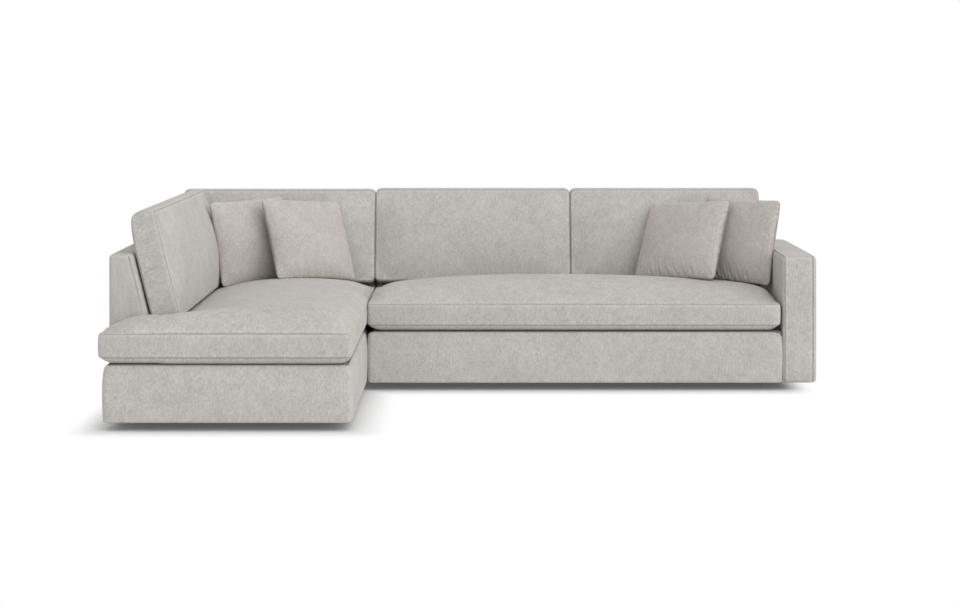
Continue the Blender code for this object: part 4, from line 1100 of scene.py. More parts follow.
@dataclass(frozen=True)
class BackCushionSizes:
    """Sizes that the back cushions share.

    Attributes:
        boxing: Thickness at the seams.
        roll: How far the rear panel rolls in.
        run: Distance over which the front swells.
        crown: How far the front swells.
        draw: How far the sides draw in, across and along.
        corner: Radius of the corners.
        bulge: How far the band swells at the sides.
        top_bulge: How far it swells on top.
        crest: How far the left cushion's rear panel comes out at the top.
        rumple: Depth of the dents in the front.
        crease: The fold in the left cushion's face.
        step: Spacing of the grid.
        fill: How full they are, 0 to 1.
        swelling: How the simulation swells them.
    """

    boxing: float = 0.128
    roll: float = 0.012
    run: float = 0.2
    crown: float = 0.045
    draw: tuple[float, float] = (0.0005, 0.0)
    corner: float = 0.025
    bulge: float = 0.0005
    top_bulge: float = 0.018
    crest: float = 0.014
    rumple: float = 0.0016
    crease: Crease = Crease()
    step: float = 0.014
    fill: float = 0.7
    swelling: Swelling = Swelling(cap=0.01, gain=0.0043)

    def cushion(self, place: BackPlace, lift: Sequence[float]) -> BoxedCushion:
        """A cushion that leans on a raked back, fitted to its CAD node's box.

        The box is H cos + T sin high, where H is the cushion's height along the rake and T its thickness.

        Args:
            place: Which cushion it is, and how its ends meet their neighbours.
            lift: Unit vector up the rake.

        Returns:
            The cushion.
        """
        low, high = (np.array(corner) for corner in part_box(place.node))
        across = np.array((0.0, 1.0, 0.0) if place.along_left else (1.0, 0.0, 0.0))
        up = np.asarray(lift) / np.linalg.norm(lift)
        out = np.cross(across, up)
        lean = math.hypot(up[0], up[1])
        height = (high[2] - low[2] - self.boxing * lean) / up[2]
        way = 1 if place.along_left else 0
        end = high[way] - (height * lean if place.along_left else 0.0)
        rect = ((low[way] - place.ends[0], end + place.ends[1]), (0.0, height))
        foot = np.where(up > 0, high - height * up, low - height * up)
        foot[way], foot[2] = 0.0, low[2]
        runs = even_runs(self.run)

        def rise(u: Array, v: Array) -> Array:
            """(Crown + rumple x dents) x swell, less the crease on the left back."""
            face = (self.crown + self.rumple * rumpled(u, v)) * swell(u, v, rect, runs)
            return face - self.crease.depth_at(u, v, rect) if place.along_left else face

        return BoxedCushion(
            place.name, place.node, place.body, foot, np.array((across, up, out)), [rect], outline_of(rect),
            rise, self.boxing - self.roll, self.roll, crest=self.crest if place.along_left else 0.0,
            corner=self.corner, bulge=self.bulge, top_bulge=self.top_bulge, draw=self.draw, step=self.step,
            slant=lean if place.along_left else 0.0, fill=self.fill, swelling=self.swelling,
        )


@dataclass
class ThrowPillow:
    """A knife-edge pillow: two panels that swell between blunt corners and share one seam.

    Attributes:
        name: The piece's name.
        node: The CAD node that it replaces.
        body: The body that it rides on.
        turn: Degrees that it is turned in its own plane, right side up.
        shift: How far it is moved across and up in its own plane.
        sides: Its width and height.
        gathers: Height of the gathers along the foot.
        gather_run: Share of the half height over which they fade.
        half: How far the front swells in the middle.
        rear_half: How far the rear does.
        draw: How far the sides draw in halfway along.
        corner: Radius of the corners.
        fullness: Power of the swell: the lower, the fuller near the seam.
        rumple: Depth of the dents in the panels.
        step: Spacing of the grid.
        fill: How full it is, 0 to 1.
        swelling: How the simulation swells it.
        stitching: How its seam is drawn in.
    """

    name: str
    node: str
    body: Body
    turn: float
    shift: tuple[float, float]
    sides: tuple[float, float]
    gathers: float = 0.0
    gather_run: float = 0.17
    half: float = 0.086
    rear_half: float = 0.068
    draw: float = 0.007
    corner: float = 0.032
    fullness: float = 0.5
    rumple: float = 0.0022
    step: float = 0.007
    fill: float = 0.6
    swelling: Swelling = Swelling(cap=0.006, gain=0.0032, bending=0.5)
    stitching: Stitching = Stitching(0.001, 0.003, 0.0, 0.008)

    def place(self) -> tuple[Array, Array]:
        """The pillow's middle and its axes (across, up, out), from the CAD node's points.

        The way out is that in which the points vary least, and the way across is level until it turns.

        Returns:
            The middle, and the axes as rows.
        """
        points = points_of(bpy.data.objects[self.node])
        middle = points.mean(axis=0)
        out = np.linalg.svd(points - middle, full_matrices=False)[2][2]
        out = out if out[1] < 0 else -out
        level = np.cross((0.0, 0.0, 1.0), out)
        level /= np.linalg.norm(level)
        angle = math.radians(self.turn)
        across = math.cos(angle) * level + math.sin(angle) * np.cross(out, level)
        axes = np.array((across, np.cross(out, across), out))
        return middle + np.array((*self.shift, 0.0)) @ axes, axes

    def gathered(self, a: Array, b: Array) -> Array:
        """Gathers that fan out from the foot: uneven sines along it, which fade over a few centimetres."""
        foot = np.exp(-(1 + b) / self.gather_run) * (1 - a**2)
        pleat = np.sin(52 * a + 8 * b + 5 * np.sin(3.1 * a)) + 0.6 * np.sin(31 * a + 14 * b + 2.0)
        return self.gathers * foot * pleat

    def shell(self) -> Shell:
        """Two panels, out by half x ((1 - a squared)(1 - b squared)) to the power of fullness, with dents.

        The sides draw in by draw x (1 - the square of the share along them), and the corners are rounded.

        Returns:
            The welded shell.
        """
        middle, axes = self.place()
        reach = np.array(self.sides) / 2
        u, v = np.meshgrid(*(graded(-r, r, self.step) for r in reach), indexing="ij")
        a, b = u / reach[0], v / reach[1]
        cloth = np.stack((u, v), axis=-1)
        plan = cloth.copy()
        for side in ((1.0, 1.0), (1.0, -1.0), (-1.0, 1.0), (-1.0, -1.0)):
            round_corner(plan, reach * side, -np.array(side), self.corner)
        plan[..., 0] -= a * self.draw * (1 - b**2)
        plan[..., 1] -= b * self.draw * (1 - a**2)
        gain = self.swelling.gain
        share = np.maximum((1 - a**2) * (1 - b**2), 0.0) ** self.fullness
        share = share * (1 + self.rumple / self.half * rumpled(u + middle[0], v + middle[1]))
        away = np.minimum(reach[0] - np.abs(u), reach[1] - np.abs(v))
        front = (self.half - gain) * share + self.gathered(a, b) * np.minimum(3 * share, 1)
        patches = []
        for height, flip in ((front, False), (-(self.rear_half - gain) * share, True)):
            patches.append(Patch(middle + np.dstack((plan, height)) @ axes, cloth, away, flip=flip))
        return Shell(patches)

    def build(self, wardrobe: Wardrobe) -> bpy.types.Object:
        """Makes the pillow."""
        return finish_soft(self.shell(), self.name, self.body, [self.node], wardrobe, Slot.PILLOW, self.fill,
                           self.stitching, self.swelling)


@dataclass
class PaddedBlock:
    """A padded box with rounded edges, whose faces swell a little.

    Attributes:
        lines: Grid lines in X, Y and Z.
        radii: Radii of the edges along X, Y and Z.
        puff: How far the faces across X, Y and Z swell.
        level_warp: Whether the warp on the faces across Y runs level.
    """

    lines: tuple[Array, Array, Array]
    radii: tuple[float, float, float]
    puff: tuple[float, float, float]
    level_warp: bool = False

    def patches(self, seams: Callable[[Array, int], Array]) -> list[Patch]:
        """The six faces, with each edge bent to an arc.

        A point's arm from the box less its radii is scaled to unit length, then by the radii. A face swells
        by puff x (1 - a to the fourth)(1 - b to the fourth), where a and b run from -1 to 1 across it.

        Args:
            seams: A function from (sharp points, face's axis) to distances from the nearest seam.

        Returns:
            The patches.
        """
        low = np.array([line[0] for line in self.lines])
        high = np.array([line[-1] for line in self.lines])
        radii = np.array(self.radii)
        made = []
        for axis in range(3):
            i, j = (axis + 1) % 3, (axis + 2) % 3
            grid = np.meshgrid(self.lines[i], self.lines[j], indexing="ij")
            unit = [2 * (g - low[k]) / (high[k] - low[k]) - 1 for g, k in zip(grid, (i, j))]
            puffed = self.puff[axis] * (1 - unit[0] ** 4) * (1 - unit[1] ** 4)
            for side, level in ((-1, low[axis]), (1, high[axis])):
                sharp = np.empty((*grid[0].shape, 3))
                sharp[..., i], sharp[..., j], sharp[..., axis] = grid[0], grid[1], level
                core = np.clip(sharp, low + radii, high - radii)
                arm = (sharp - core) / radii
                points = core + radii * arm / np.linalg.norm(arm, axis=-1, keepdims=True)
                points[..., axis] += side * puffed
                across, along = ((1, 2), (0, 2), (0, 1))[axis]
                if axis == 1 and self.level_warp:
                    across, along = along, across
                cloth = np.stack((sharp[..., across], sharp[..., along]), axis=-1)
                made.append(Patch(points, cloth, seams(sharp, axis), flip=side < 0))
        return made


@dataclass(frozen=True)
class TrackArm:
    """The arm: a band goes up its front, over its top and down its rear, sewn to a panel on each side.

    Attributes:
        radii: Radii of the edges.
        inner_seam: Distance of the band's inner seam from the inner side.
        outer_seam: Distance of its outer seam from the outer side.
        proud: How far the padding stands out past the CAD cover at the outer side and on top.
        puff: How far the faces swell.
        close: Distance of the lines beside a seam.
        step: Spacing of the grid.
    """

    radii: tuple[float, float, float] = (0.018, 0.017, 0.024)
    inner_seam: float = 0.006
    outer_seam: float = 0.017
    proud: float = 0.0085
    puff: tuple[float, float, float] = (0.004, 0.004, 0.003)
    close: float = 0.004
    step: float = 0.03

    def build(self, wardrobe: Wardrobe) -> bpy.types.Object:
        """Makes the arm's cover."""
        low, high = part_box("sofa_arm_cover")
        high = high + Vector((self.proud, 0.0, self.proud))
        xs, ys, zs = (arc_lines(*ends, self.step) for ends in zip(low, high, self.radii))
        stops = np.array((low.x + self.inner_seam, high.x - self.outer_seam))
        close = np.array((-self.close, 0.0, self.close))
        xs = np.unique(np.round(np.concatenate((xs, (stops[:, None] + close).ravel())), WELD_DIGITS))

        def seams(points: Array, axis: int) -> Array:
            """Distance to the band's seams, on the band's own faces."""
            if axis == 0:
                return no_seam(points.shape[:2])
            return np.abs(points[..., :1] - stops).min(axis=-1)

        shell = Shell(PaddedBlock((xs, ys, zs), self.radii, self.puff).patches(seams))
        return finish_soft(shell, "arm_cover", Body.SOFA, ["sofa_arm_cover"], wardrobe)


@dataclass(frozen=True)
class RakedBack:
    """A back with an upright outer face, a raked inner face, and a thin wall below the deck.

    Attributes:
        rake: Lean of the inner face, degrees.
        top: Thickness at the top.
        wall: Thickness below the deck.
        shoulder: Height of the step between them.
        end_wall: Thickness of the left back past its step.
        step_at: Where the left back steps back to that, along Y.
        proud: How far the left back's padding stands out at its outer face.
        radii: Radii of the edges: across, along, up.
        strip: Distance of an end panel's seam from the raked edge.
        cheek: Thickness of the panel that closes a rear back's end below the deck.
        cheek_short: How far that panel stops short of the raked face.
        plug: Length of the left back's rear end that is as thick below the deck as above it.
        seam_in: Distance of the rear seam from the ends.
        fold: Distance between the two grid lines at a step.
        step: Spacing of the grid along the back.
        depth_step: Its spacing through the back.
        rows: Number of its lines below the shoulder, and above it.
        rear_puff: How far the faces of a rear back swell.
        left_puff: How far those of the left back do.
    """

    rake: float = 14.0
    top: float = 0.092
    wall: float = 0.03
    shoulder: float = 0.244
    end_wall: float = 0.048
    step_at: float = 0.68
    proud: float = 0.006
    radii: tuple[float, float, float] = (0.014, 0.016, 0.018)
    strip: float = 0.014
    cheek: float = 0.02
    cheek_short: float = 0.002
    plug: float = 0.024
    seam_in: float = 0.016
    fold: float = 0.001
    step: float = 0.04
    depth_step: float = 0.02
    rows: tuple[int, int] = (6, 16)
    rear_puff: tuple[float, float, float] = (0.001, 0.0, 0.002)
    left_puff: tuple[float, float, float] = (0.0, 0.003, 0.002)

    def thickness(self, height: Array, roof: float) -> Array:
        """The back's thickness at each height: a wedge above the shoulder and a thin wall below it."""
        wedge = self.top + (roof - height) * math.tan(math.radians(self.rake))
        return np.where(height >= self.shoulder, wedge, self.wall)

    def heights(self, low: float, high: float) -> Array:
        """Grid lines up the back, two of them close together at the shoulder."""
        lower = np.linspace(low + self.radii[2], self.shoulder - self.fold, self.rows[0])
        upper = np.linspace(self.shoulder, high - self.radii[2], self.rows[1])
        turns = self.radii[2] * ARC_TURNS
        return np.concatenate((low + turns, lower, upper, (high - turns)[::-1]))

    def unit_lines(self, radius: float) -> Array:
        """Grid lines through the thickness, as shares of it, close together at each face."""
        return arc_lines(0.0, self.top, radius, self.depth_step) / self.top

    def rear(self, name: str, node: str, body: Body, seam_right: bool,
             wardrobe: Wardrobe) -> bpy.types.Object:
        """A back along the rear.

        A box one unit thick is padded, then its depth from the rear face is scaled by the thickness. A cheek
        carries the end at the other section down to the floor end, so that no rail shows there.

        Args:
            name: The piece's name.
            node: The CAD node.
            body: The body that it rides on.
            seam_right: Whether its right end is the one at the other section.
            wardrobe: The materials.

        Returns:
            The cover.
        """
        low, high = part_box(node)
        close = np.array((self.seam_in, self.cheek, self.cheek + self.fold))
        along = arc_lines(low.x, high.x, self.radii[0], self.step)
        xs = np.unique(np.round(np.concatenate((along, low.x + close, high.x - close)), WELD_DIGITS))
        lines = (xs, -self.unit_lines(self.radii[1])[::-1], self.heights(low.z, high.z))
        radii = (self.radii[0], self.radii[1] / self.top, self.radii[2])
        rear_seam = high.z - self.radii[2]

        def seams(points: Array, axis: int) -> Array:
            """A seam round the outside back, along its top and down its ends."""
            if axis != 1:
                return no_seam(points.shape[:2])
            ends = np.minimum(points[..., 0] - low.x, high.x - points[..., 0])
            edge = np.minimum(np.abs(ends - self.seam_in), np.abs(points[..., 2] - rear_seam))
            return np.where(points[..., 1] > -0.5, edge, FAR_FROM_SEAM)

        patches = PaddedBlock(lines, radii, self.rear_puff).patches(seams)
        seam_end = high.x if seam_right else low.x
        widest = self.thickness(np.array(self.shoulder), high.z) - self.cheek_short
        for patch in patches:
            x, depth, z = np.moveaxis(patch.points, -1, 0)
            on_cheek = (np.abs(x - seam_end) < self.cheek + self.fold / 2) & (z < self.shoulder)
            thick = np.where(on_cheek, widest, self.thickness(z, high.z))
            patch.points[..., 1] = high.y + depth * thick
        return finish_soft(Shell(patches), name, body, [node], wardrobe)

    def left(self, wardrobe: Wardrobe) -> bpy.types.Object:
        """The left back, thin where the rear back's end stands against it."""
        node = "bumper_left_back_cover"
        low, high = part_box(node)
        step_at, plug_at = self.step_at, high.y - self.plug
        front = arc_lines(low.y, step_at, self.radii[1], self.step)
        back = arc_lines(step_at + self.fold, high.y, self.radii[1], self.step)
        steps = (step_at, step_at + self.fold, plug_at - self.fold, plug_at)
        ys = np.sort(np.concatenate((front[front < step_at - self.radii[1]], steps, back[4:])))
        lines = (self.unit_lines(self.radii[0]), ys, self.heights(low.z, high.z))
        radii = (self.radii[0] / self.top, self.radii[1], self.radii[2])

        def seams(points: Array, axis: int) -> Array:
            """A seam on the end panel, a strip in from the raked edge."""
            if axis != 1:
                return no_seam(points.shape[:2])
            inset = (1 - points[..., 0]) * self.thickness(points[..., 2], high.z)
            return np.where(points[..., 1] < step_at, np.abs(inset - self.strip), FAR_FROM_SEAM)

        patches = PaddedBlock(lines, radii, self.left_puff, level_warp=True).patches(seams)
        for patch in patches:
            share, y, z = np.moveaxis(patch.points, -1, 0)
            plugged = (z >= self.shoulder) | (y > plug_at - self.fold / 2)
            past_step = np.where(plugged, self.end_wall, self.wall)
            thick = np.where(y <= step_at, self.thickness(z, high.z), past_step)
            patch.points[..., 0] = low.x - self.proud + share * (thick + self.proud)
        return finish_soft(Shell(patches), "left_back_cover", Body.BUMPER, [node], wardrobe)


def rounded_path(corners: Sequence[tuple[float, float]], radius: Sequence[float], step: float) -> Array:
    """A plan path through corners, with an arc at each inner one.

    Args:
        corners: The path's corners.
        radius: The arc's radius at each corner, 0 at the ends.
        step: Spacing of points on the straights.

    Returns:
        The path's points, (n, 2).
    """
    stops = np.asarray(corners, float)
    runs, last = [], stops[0]
    for index in range(1, len(stops)):
        ahead = stops[index] - stops[index - 1]
        ahead /= np.linalg.norm(ahead)
        bend = radius[index]
        until = stops[index] - ahead * bend
        count = max(2, round(np.linalg.norm(until - last) / step) + 1)
        runs.append(np.linspace(last, until, count)[1 if runs else 0:])
        last = until
        if bend:
            leave = stops[index + 1] - stops[index]
            leave /= np.linalg.norm(leave)
            turn = np.radians(np.linspace(15, 90, 6))[:, None]
            centre = until + leave * bend
            runs.append(centre + bend * (ahead * np.sin(turn) - leave * np.cos(turn)))
            last = runs[-1][-1]
    return np.concatenate(runs)


@dataclass(frozen=True)
class BaseWall:
    """The upholstered wall round a section's base: soft at the top, hemmed at the floor end.

    Attributes:
        thickness: Thickness of the padding.
        top_in: How far the top edge's rounding reaches in.
        top_down: How far it reaches down.
        hem: Radius of the lower edge.
        swell: How far the wall swells halfway up.
        short: How far it stops below the deck.
        step: Spacing of points along the wall.
    """

    thickness: float = 0.018
    top_in: float = 0.016
    top_down: float = 0.03
    hem: float = 0.008
    swell: float = 0.004
    short: float = 0.003
    step: float = 0.03

    def profile(self, low: float, high: float) -> tuple[Array, Array]:
        """The outer face's insets and heights, from low up: hem arc, swollen wall, elliptical top edge."""
        turn = np.radians(np.linspace(0, 90, 5))
        hem_in, hem_up = self.hem * (1 - np.sin(turn)), low + self.hem * (1 - np.cos(turn))
        walls = np.linspace(low + self.hem, high - self.top_down, 10)[1:-1]
        share = (walls - low) / (high - low)
        wall_in = -self.swell * 4 * share * (1 - share)
        turn = np.radians(np.linspace(0, 90, 8))
        top_in = self.top_in * (1 - np.cos(turn))
        top_up = high - self.top_down * (1 - np.sin(turn))
        insets = np.concatenate((hem_in, wall_in, top_in))
        return insets, np.concatenate((hem_up, walls, top_up))

    def shell(self, path: Array, low: float, high: float, dip: Array) -> Shell:
        """The wall: the profile carried along the path, with a flat inner face and closed ends.

        Args:
            path: The outer face's plan, with the base on its left, (n, 2).
            low: Height of the lower edge.
            high: Height of the top.
            dip: How far the top comes down at each point of the path.

        Returns:
            The welded shell.
        """
        high = high - self.short
        insets, heights = self.profile(low, high)
        ahead = np.gradient(path, axis=0)
        ahead /= np.linalg.norm(ahead, axis=1, keepdims=True)
        inward = np.stack((-ahead[:, 1], ahead[:, 0]), axis=-1)
        reach = np.concatenate(([0.0], np.cumsum(np.linalg.norm(np.diff(path, axis=0), axis=1))))
        share = (heights - low) / (high - low)
        levels = heights[None, :] - dip[:, None] * share[None, :] ** 3

        def wall(inset: Array) -> Array:
            """Points of the wall at these insets."""
            plan = path[:, None, :] + inward[:, None, :] * inset[None, :, None]
            return np.dstack((plan, levels))

        outer, inner = wall(insets), wall(np.full(len(insets), self.thickness))
        cloth = np.stack((np.broadcast_to(reach[:, None], levels.shape), levels), axis=-1)
        away = no_seam(levels.shape)
        patches = [Patch(outer, cloth, away), Patch(inner, cloth, away, flip=True)]
        for row, flip in ((-1, False), (0, True)):
            rim = np.stack((outer[:, row], inner[:, row]), axis=1)
            patches.append(Patch(rim, cloth[:, :2], away[:, :2], flip=flip))
        for row, flip in ((0, False), (-1, True)):
            end = np.stack((inner[row], outer[row]), axis=0)
            patches.append(Patch(end, np.stack((cloth[row], cloth[row])), away[:2, :], flip=flip))
        return Shell(patches)


@dataclass(frozen=True)
class SectionBase:
    """The wall round a section's base: left side, front, and right side or a return against the arm.

    Attributes:
        section: The start of its nodes' names.
        body: The body that it rides on.
        sides: The aprons that it replaces: front, left and, if there is one, right.
        corner: Radius of its two corners.
        wall: Sizes of the wall.
        droop: How far the top edge comes down at the left corner and at the right one.
        droop_runs: Distances over which it does.
    """

    section: str
    body: Body
    sides: Sequence[str]
    corner: float
    wall: BaseWall
    droop: tuple[float, float] = (0.0, 0.0)
    droop_runs: tuple[float, float] = (1.0, 1.0)

    def build(self, wardrobe: Wardrobe) -> bpy.types.Object:
        """Makes the wall. Its top dips by droop x (1 - distance / run) squared near a corner."""
        nodes = [f"{self.section}_{side}_apron" for side in self.sides]
        low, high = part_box(nodes[0])
        left_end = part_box(nodes[1])[1].y
        right_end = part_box(nodes[2])[1].y if len(nodes) > 2 else high.y
        corners = [(low.x, left_end), (low.x, low.y), (high.x, low.y), (high.x, right_end)]
        path = rounded_path(corners, (0.0, self.corner, self.corner, 0.0), self.wall.step)
        at_left = np.clip(1 - (path[:, 0] - low.x) / self.droop_runs[0], 0, 1)
        at_right = np.clip(1 - (high.x - path[:, 0]) / self.droop_runs[1], 0, 1)
        dip = self.droop[1] * at_right**2 + self.droop[0] * at_left**2
        shell = self.wall.shell(path, low.z, high.z, dip)
        return finish_soft(shell, f"{self.section}_base_cover", self.body, nodes, wardrobe)


BASES = (
    SectionBase("bumper", Body.BUMPER, ("front", "left", "right"), 0.022,
                BaseWall(top_in=0.017, top_down=0.042)),
    SectionBase("sofa", Body.SOFA, ("front", "left"), 0.02, BaseWall(top_in=0.012, top_down=0.016),
                droop=(0.008, 0.014), droop_runs=(0.018, 0.04)),
)


@dataclass(frozen=True)
class DeckPads:
    """The padded decks under the seats: flat pads with a slight crown.

    Attributes:
        crown: How far a pad swells.
        run: Distance over which it does.
        reach: How far a pad reaches past the CAD node towards the base's walls.
        gap: How far the bumper's pad stays clear of the left back.
        roll: How far the underside rolls in.
        roll_run: Distance over which it rolls.
        corner: Radius of the corners.
        step: Spacing of the grid.
        swelling: How the simulation swells them, hardly at all.
    """

    crown: float = 0.003
    run: float = 0.05
    reach: float = 0.01
    gap: float = 0.0005
    roll: float = 0.006
    roll_run: float = 0.012
    corner: float = 0.01
    step: float = 0.05
    swelling: Swelling = Swelling(frames=2, cap=0.001)

    def pad(self, name: str, node: str, body: Body, rects: Sequence[Rect],
            outline: Sequence[tuple[float, float]]) -> BoxedCushion:
        """One pad, as thick as the CAD node.

        Args:
            name: The piece's name.
            node: The CAD node.
            body: The body that it rides on.
            rects: The plan's rectangles.
            outline: The plan's corners, turning left.

        Returns:
            The pad.
        """
        low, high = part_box(node)
        boxing = high.z - low.z - self.roll - self.crown

        def rise(x: Array, y: Array) -> Array:
            """Crown x the joined swell of the pad's rectangles."""
            return self.crown * joined([swell(x, y, rect, even_runs(self.run)) for rect in rects])

        return BoxedCushion(
            name, node, body, np.array((0.0, 0.0, low.z)), np.eye(3), rects, outline, rise, boxing, self.roll,
            roll_run=self.roll_run, corner=self.corner, bulge=0.0, top_bulge=0.0, step=self.step, fill=1.0,
            slot=Slot.DECK, swelling=self.swelling,
        )

    def pads(self) -> list[BoxedCushion]:
        """Both sections' pads."""
        low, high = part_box("sofa_deck_pad")
        sofa = ((low.x - self.reach, high.x), (low.y - self.reach, high.y))
        low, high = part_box("bumper_deck_pad")
        low = low - Vector((self.reach, self.reach, 0.0))
        high = high + Vector((self.reach, 0.0, 0.0))
        return [
            self.pad("sofa_deck", "sofa_deck_pad", Body.SOFA, [sofa], outline_of(sofa)),
            self.pad("bumper_deck", "bumper_deck_pad", Body.BUMPER, *plan_of_l(low, high, self.gap)),
        ]


@dataclass(frozen=True)
class DustCloth:
    """The thin cloth stapled under a section, which sags a little between its edges.

    Attributes:
        sag: How far its middle hangs.
        thickness: Its thickness.
        ripple: Height of the ripples in it.
        lower: How far its edges lie below the top of the CAD node.
        step: Spacing of the grid.
    """

    sag: float = 0.002
    thickness: float = 0.0008
    ripple: float = 0.0006
    lower: float = 0.0002
    step: float = 0.04

    def build(self, name: str, node: str, body: Body, rails: Sequence[str],
              wardrobe: Wardrobe) -> bpy.types.Object:
        """Makes the cloth: it hangs by sag x (1 - a squared)(1 - b squared) below the rails.

        Args:
            name: The piece's name.
            node: The CAD node.
            body: The body that it rides on.
            rails: The nodes that it is stapled to; not used.
            wardrobe: The materials.

        Returns:
            The piece.
        """
        low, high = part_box(node)
        xs = np.linspace(low.x, high.x, round((high.x - low.x) / self.step))
        ys = np.linspace(low.y, high.y, round((high.y - low.y) / self.step))
        x, y = np.meshgrid(xs, ys, indexing="ij")
        a, b = (2 * (g - g.min()) / (g.max() - g.min()) - 1 for g in (x, y))
        ripple = self.ripple * np.sin(9 * a + 4 * b) * np.sin(7 * b - 3 * a)
        z = high.z - self.lower - (self.sag + ripple) * (1 - a**2) * (1 - b**2)
        patch = Patch(np.dstack((x, y, z)), np.dstack((x, y)), no_seam(x.shape))
        piece = Shell([patch]).to_object(name)
        wall = piece.modifiers.new("cloth_thickness", "SOLIDIFY")
        wall.thickness = self.thickness
        wall.offset = -1.0
        wardrobe.dress(piece, Slot.DUST)
        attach(piece, body.value)
        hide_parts(node)
        log.info("%s: %d points", name, x.size)
        return piece


@dataclass(frozen=True)
class Studio:
    """A plain pale studio, and the camera where the photographer stood.

    Attributes:
        eye: The camera's place.
        focal: Focal length in pixels of the frame.
        frame: The frame's size in pixels.
        horizon: The frame row that the horizon lies on.
        floor: Albedo of the floor.
        fade: Distances from the sofa at which its floor starts and ends to turn plain white.
        dome: Strength of the light from all round.
        key: Strength of the broad lamp at the right, watts per square metre.
        key_from: The way to that lamp.
        key_spread: How wide it looks from the sofa, degrees.
        under: How much white glow is painted into the floor's shadow under the sofa, as the camera sees it.
        half: Half the floor's width.
    """

    eye: tuple[float, float, float] = (0.006, -9.38, 1.4655)
    focal: float = 2040.0
    frame: tuple[int, int] = (960, 606)
    horizon: float = 74.0
    floor: float = 0.85
    fade: tuple[float, float] = (0.0, 0.16)
    dome: float = 0.69
    key: float = 1.56
    key_from: tuple[float, float, float] = (0.66, -0.59, 0.46)
    key_spread: float = 95.0
    under: float = 0.08
    half: float = 60.0

    def camera(self) -> None:
        """Places the camera level, looking along +Y, and shifts its frame down to the photograph's."""
        lens = bpy.data.cameras.new("camera")
        lens.sensor_width = 36.0
        lens.lens = self.focal / self.frame[0] * lens.sensor_width
        lens.shift_y = (self.horizon - self.frame[1] / 2) / self.frame[0]
        lens.clip_end = 200.0
        made = add_object("camera", lens)
        made.location = self.eye
        made.rotation_euler = (math.pi / 2, 0.0, 0.0)
        bpy.context.scene.camera = made

    def seen(self, g: Graph) -> bpy.types.NodeSocket:
        """1 for a ray that shows the background: from the camera, off gloss or through glass."""
        path = g.node("ShaderNodeLightPath").outputs
        indirect = g.math("MAXIMUM", path["Is Glossy Ray"], path["Is Transmission Ray"])
        return g.math("MAXIMUM", path["Is Camera Ray"], indirect)

    def distance(self, g: Graph, parts: Any, section: str) -> bpy.types.NodeSocket:
        """Distance from a floor point to a section's plan: past its sides in X and Y, joined by Pythagoras.

        Args:
            g: The floor's graph.
            parts: Sockets of the point's X and Y.
            section: The section, by the start of its nodes' names.

        Returns:
            The distance.
        """
        boxes = [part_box(f"{section}_{part}") for part in ("front_apron", "dust_cover")]
        low = np.min([box[0] for box in boxes], axis=0)
        high = np.max([box[1] for box in boxes], axis=0)
        past = []
        for part, lowest, highest in zip(parts, low, high):
            short = g.math("SUBTRACT", float(lowest), part)
            beyond = g.math("MAXIMUM", short, g.math("SUBTRACT", part, float(highest)))
            past.append(g.math("POWER", g.math("MAXIMUM", beyond, 0.0), 2.0))
        return g.math("SQRT", g.math("ADD", past[0], past[1]))

    def ground(self) -> None:
        """A wide floor that holds the sofa's shadow, lightened by a painted white glow under the sofa, and
        turns plain white beyond it.
        """
        mesh = bpy.data.meshes.new("floor")
        corners = [(x * self.half, y * self.half, 0) for x, y in ((-1, -1), (1, -1), (1, 1), (-1, 1))]
        mesh.from_pydata(corners, [], [(0, 1, 2, 3)])
        add_object("floor", mesh)
        made = bpy.data.materials.new("studio_floor")
        made.use_nodes = True
        g = Graph(made.node_tree)
        made.node_tree.nodes.clear()
        parts = g.node("ShaderNodeSeparateXYZ", {0: g.place()}).outputs
        away = g.math("MINIMUM", self.distance(g, parts, "bumper"), self.distance(g, parts, "sofa"))
        # Painted glow: to the camera, the floor under the sofa keeps a little white emission, which lightens
        # its shadow.
        far = g.ramp(away, *self.fade, self.under, interpolation_type="SMOOTHSTEP")
        share = g.math("MULTIPLY", far, self.seen(g))
        grey = (self.floor, self.floor, self.floor, 1.0)
        matt = g.node("ShaderNodeBsdfDiffuse", {"Color": grey}).outputs[0]
        white = g.node("ShaderNodeEmission", {"Color": WHITE, "Strength": 1.0}).outputs[0]
        blend = g.node("ShaderNodeMixShader", {0: share, 1: matt, 2: white}).outputs[0]
        g.node("ShaderNodeOutputMaterial", {"Surface": blend})
        mesh.materials.append(made)

    def light(self) -> None:
        """Even light from all round, white to the camera, and one broad lamp at the right."""
        world = bpy.data.worlds.new("studio")
        world.use_nodes = True
        world.node_tree.nodes.clear()
        g = Graph(world.node_tree)
        lit = g.node("ShaderNodeBackground", {"Color": WHITE, "Strength": self.dome}).outputs[0]
        white = g.node("ShaderNodeBackground", {"Color": WHITE, "Strength": 1.0}).outputs[0]
        mixed = g.node("ShaderNodeMixShader", {0: self.seen(g), 1: lit, 2: white}).outputs[0]
        g.node("ShaderNodeOutputWorld", {"Surface": mixed})
        bpy.context.scene.world = world
        lamp = bpy.data.lights.new("key", "SUN")
        lamp.energy = self.key
        lamp.angle = math.radians(self.key_spread)
        turn = Vector(self.key_from).to_track_quat("Z", "Y").to_euler()
        add_object("key", lamp).rotation_euler = turn

    def build(self) -> None:
        """Sets up the camera, floor and light."""
        bpy.context.scene.view_settings.view_transform = "Standard"
        self.camera()
        self.ground()
        self.light()


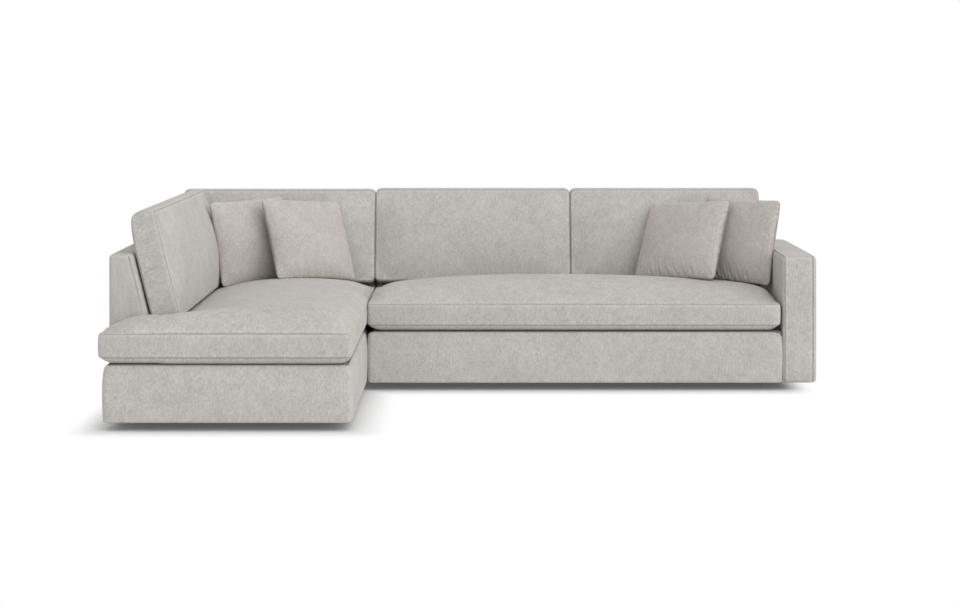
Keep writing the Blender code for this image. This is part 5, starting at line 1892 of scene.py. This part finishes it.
def back_cushions(frame: dict[str, Any]) -> list[BoxedCushion]:
    """The three cushions along the rear back and the one along the left back, each up its joint's axis."""
    lifts = {joint["child"]: joint["axis"] for joint in frame["joints"]}
    sizes = BackCushionSizes()
    layout = (
        BackPlace("corner_back", "corner_back_cushion", Body.CORNER_CUSHION, ends=(0.0, 0.0058)),
        BackPlace("middle_back", "middle_back_cushion", Body.MIDDLE_CUSHION, ends=(0.0058, 0.0034)),
        BackPlace("right_back", "right_back_cushion", Body.RIGHT_CUSHION, ends=(0.0034, 0.002)),
        BackPlace("left_back", "left_back_cushion", Body.LEFT_CUSHION, along_left=True),
    )
    return [sizes.cushion(place, lifts[place.body.value]) for place in layout]


def throw_pillows() -> list[ThrowPillow]:
    """The four pillows: two at each end of the rear back."""
    return [
        ThrowPillow("corner_throw_pillow", "corner_pillow", Body.CORNER_THROW, 1.4, (-0.004, -0.007),
                    (0.46, 0.422), half=0.076),
        ThrowPillow("left_throw_pillow", "left_front_pillow", Body.LEFT_THROW, -4.6, (-0.002, -0.002),
                    (0.46, 0.428), 0.003),
        ThrowPillow("right_throw_pillow", "right_front_pillow", Body.RIGHT_THROW, 4.2, (0.005, -0.012),
                    (0.464, 0.42), 0.008),
        ThrowPillow("arm_throw_pillow", "arm_pillow", Body.ARM_THROW, -0.3, (0.009, 0.003),
                    (0.46, 0.42), 0.008, half=0.076),
    ]


def dress_hidden_nodes(frame: dict[str, Any], wardrobe: Wardrobe) -> None:
    """Gives the frame's timber, springs, connectors and feet that stay in view their finishes."""
    kept = {slot.value: slot for slot in (Slot.TIMBER, Slot.SPRING, Slot.CONNECTOR, Slot.FOOT)}
    for row in frame["record"]["subparts"]:
        if row["material_slot"] in kept:
            wardrobe.dress_node(frame["nodes"][row["node"]], kept[row["material_slot"]])


def main() -> None:
    """Builds every piece round the frame, then the studio."""
    logging.basicConfig(level=logging.INFO, format="%(name)s: %(message)s")
    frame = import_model()
    wardrobe = Wardrobe()
    dress_hidden_nodes(frame, wardrobe)
    seats = SeatSizes()
    for cushion in (seats.bench(), seats.bumper(), *back_cushions(frame), *DeckPads().pads()):
        cushion.build(wardrobe)
    for pillow in throw_pillows():
        pillow.build(wardrobe)
    TrackArm().build(wardrobe)
    back = RakedBack()
    back.rear("sofa_back", "sofa_back_cover", Body.SOFA, False, wardrobe)
    back.rear("bumper_rear_back", "bumper_rear_back_cover", Body.BUMPER, True, wardrobe)
    back.left(wardrobe)
    for base in BASES:
        base.build(wardrobe)
    dust = DustCloth()
    for section, body in (("sofa", Body.SOFA), ("bumper", Body.BUMPER)):
        rails = [f"{section}_front_rail", f"{section}_rear_rail"]
        dust.build(f"{section}_dust_cloth", f"{section}_dust_cover", body, rails, wardrobe)
    Studio().build()
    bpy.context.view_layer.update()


if __name__ == "__main__":
    main()
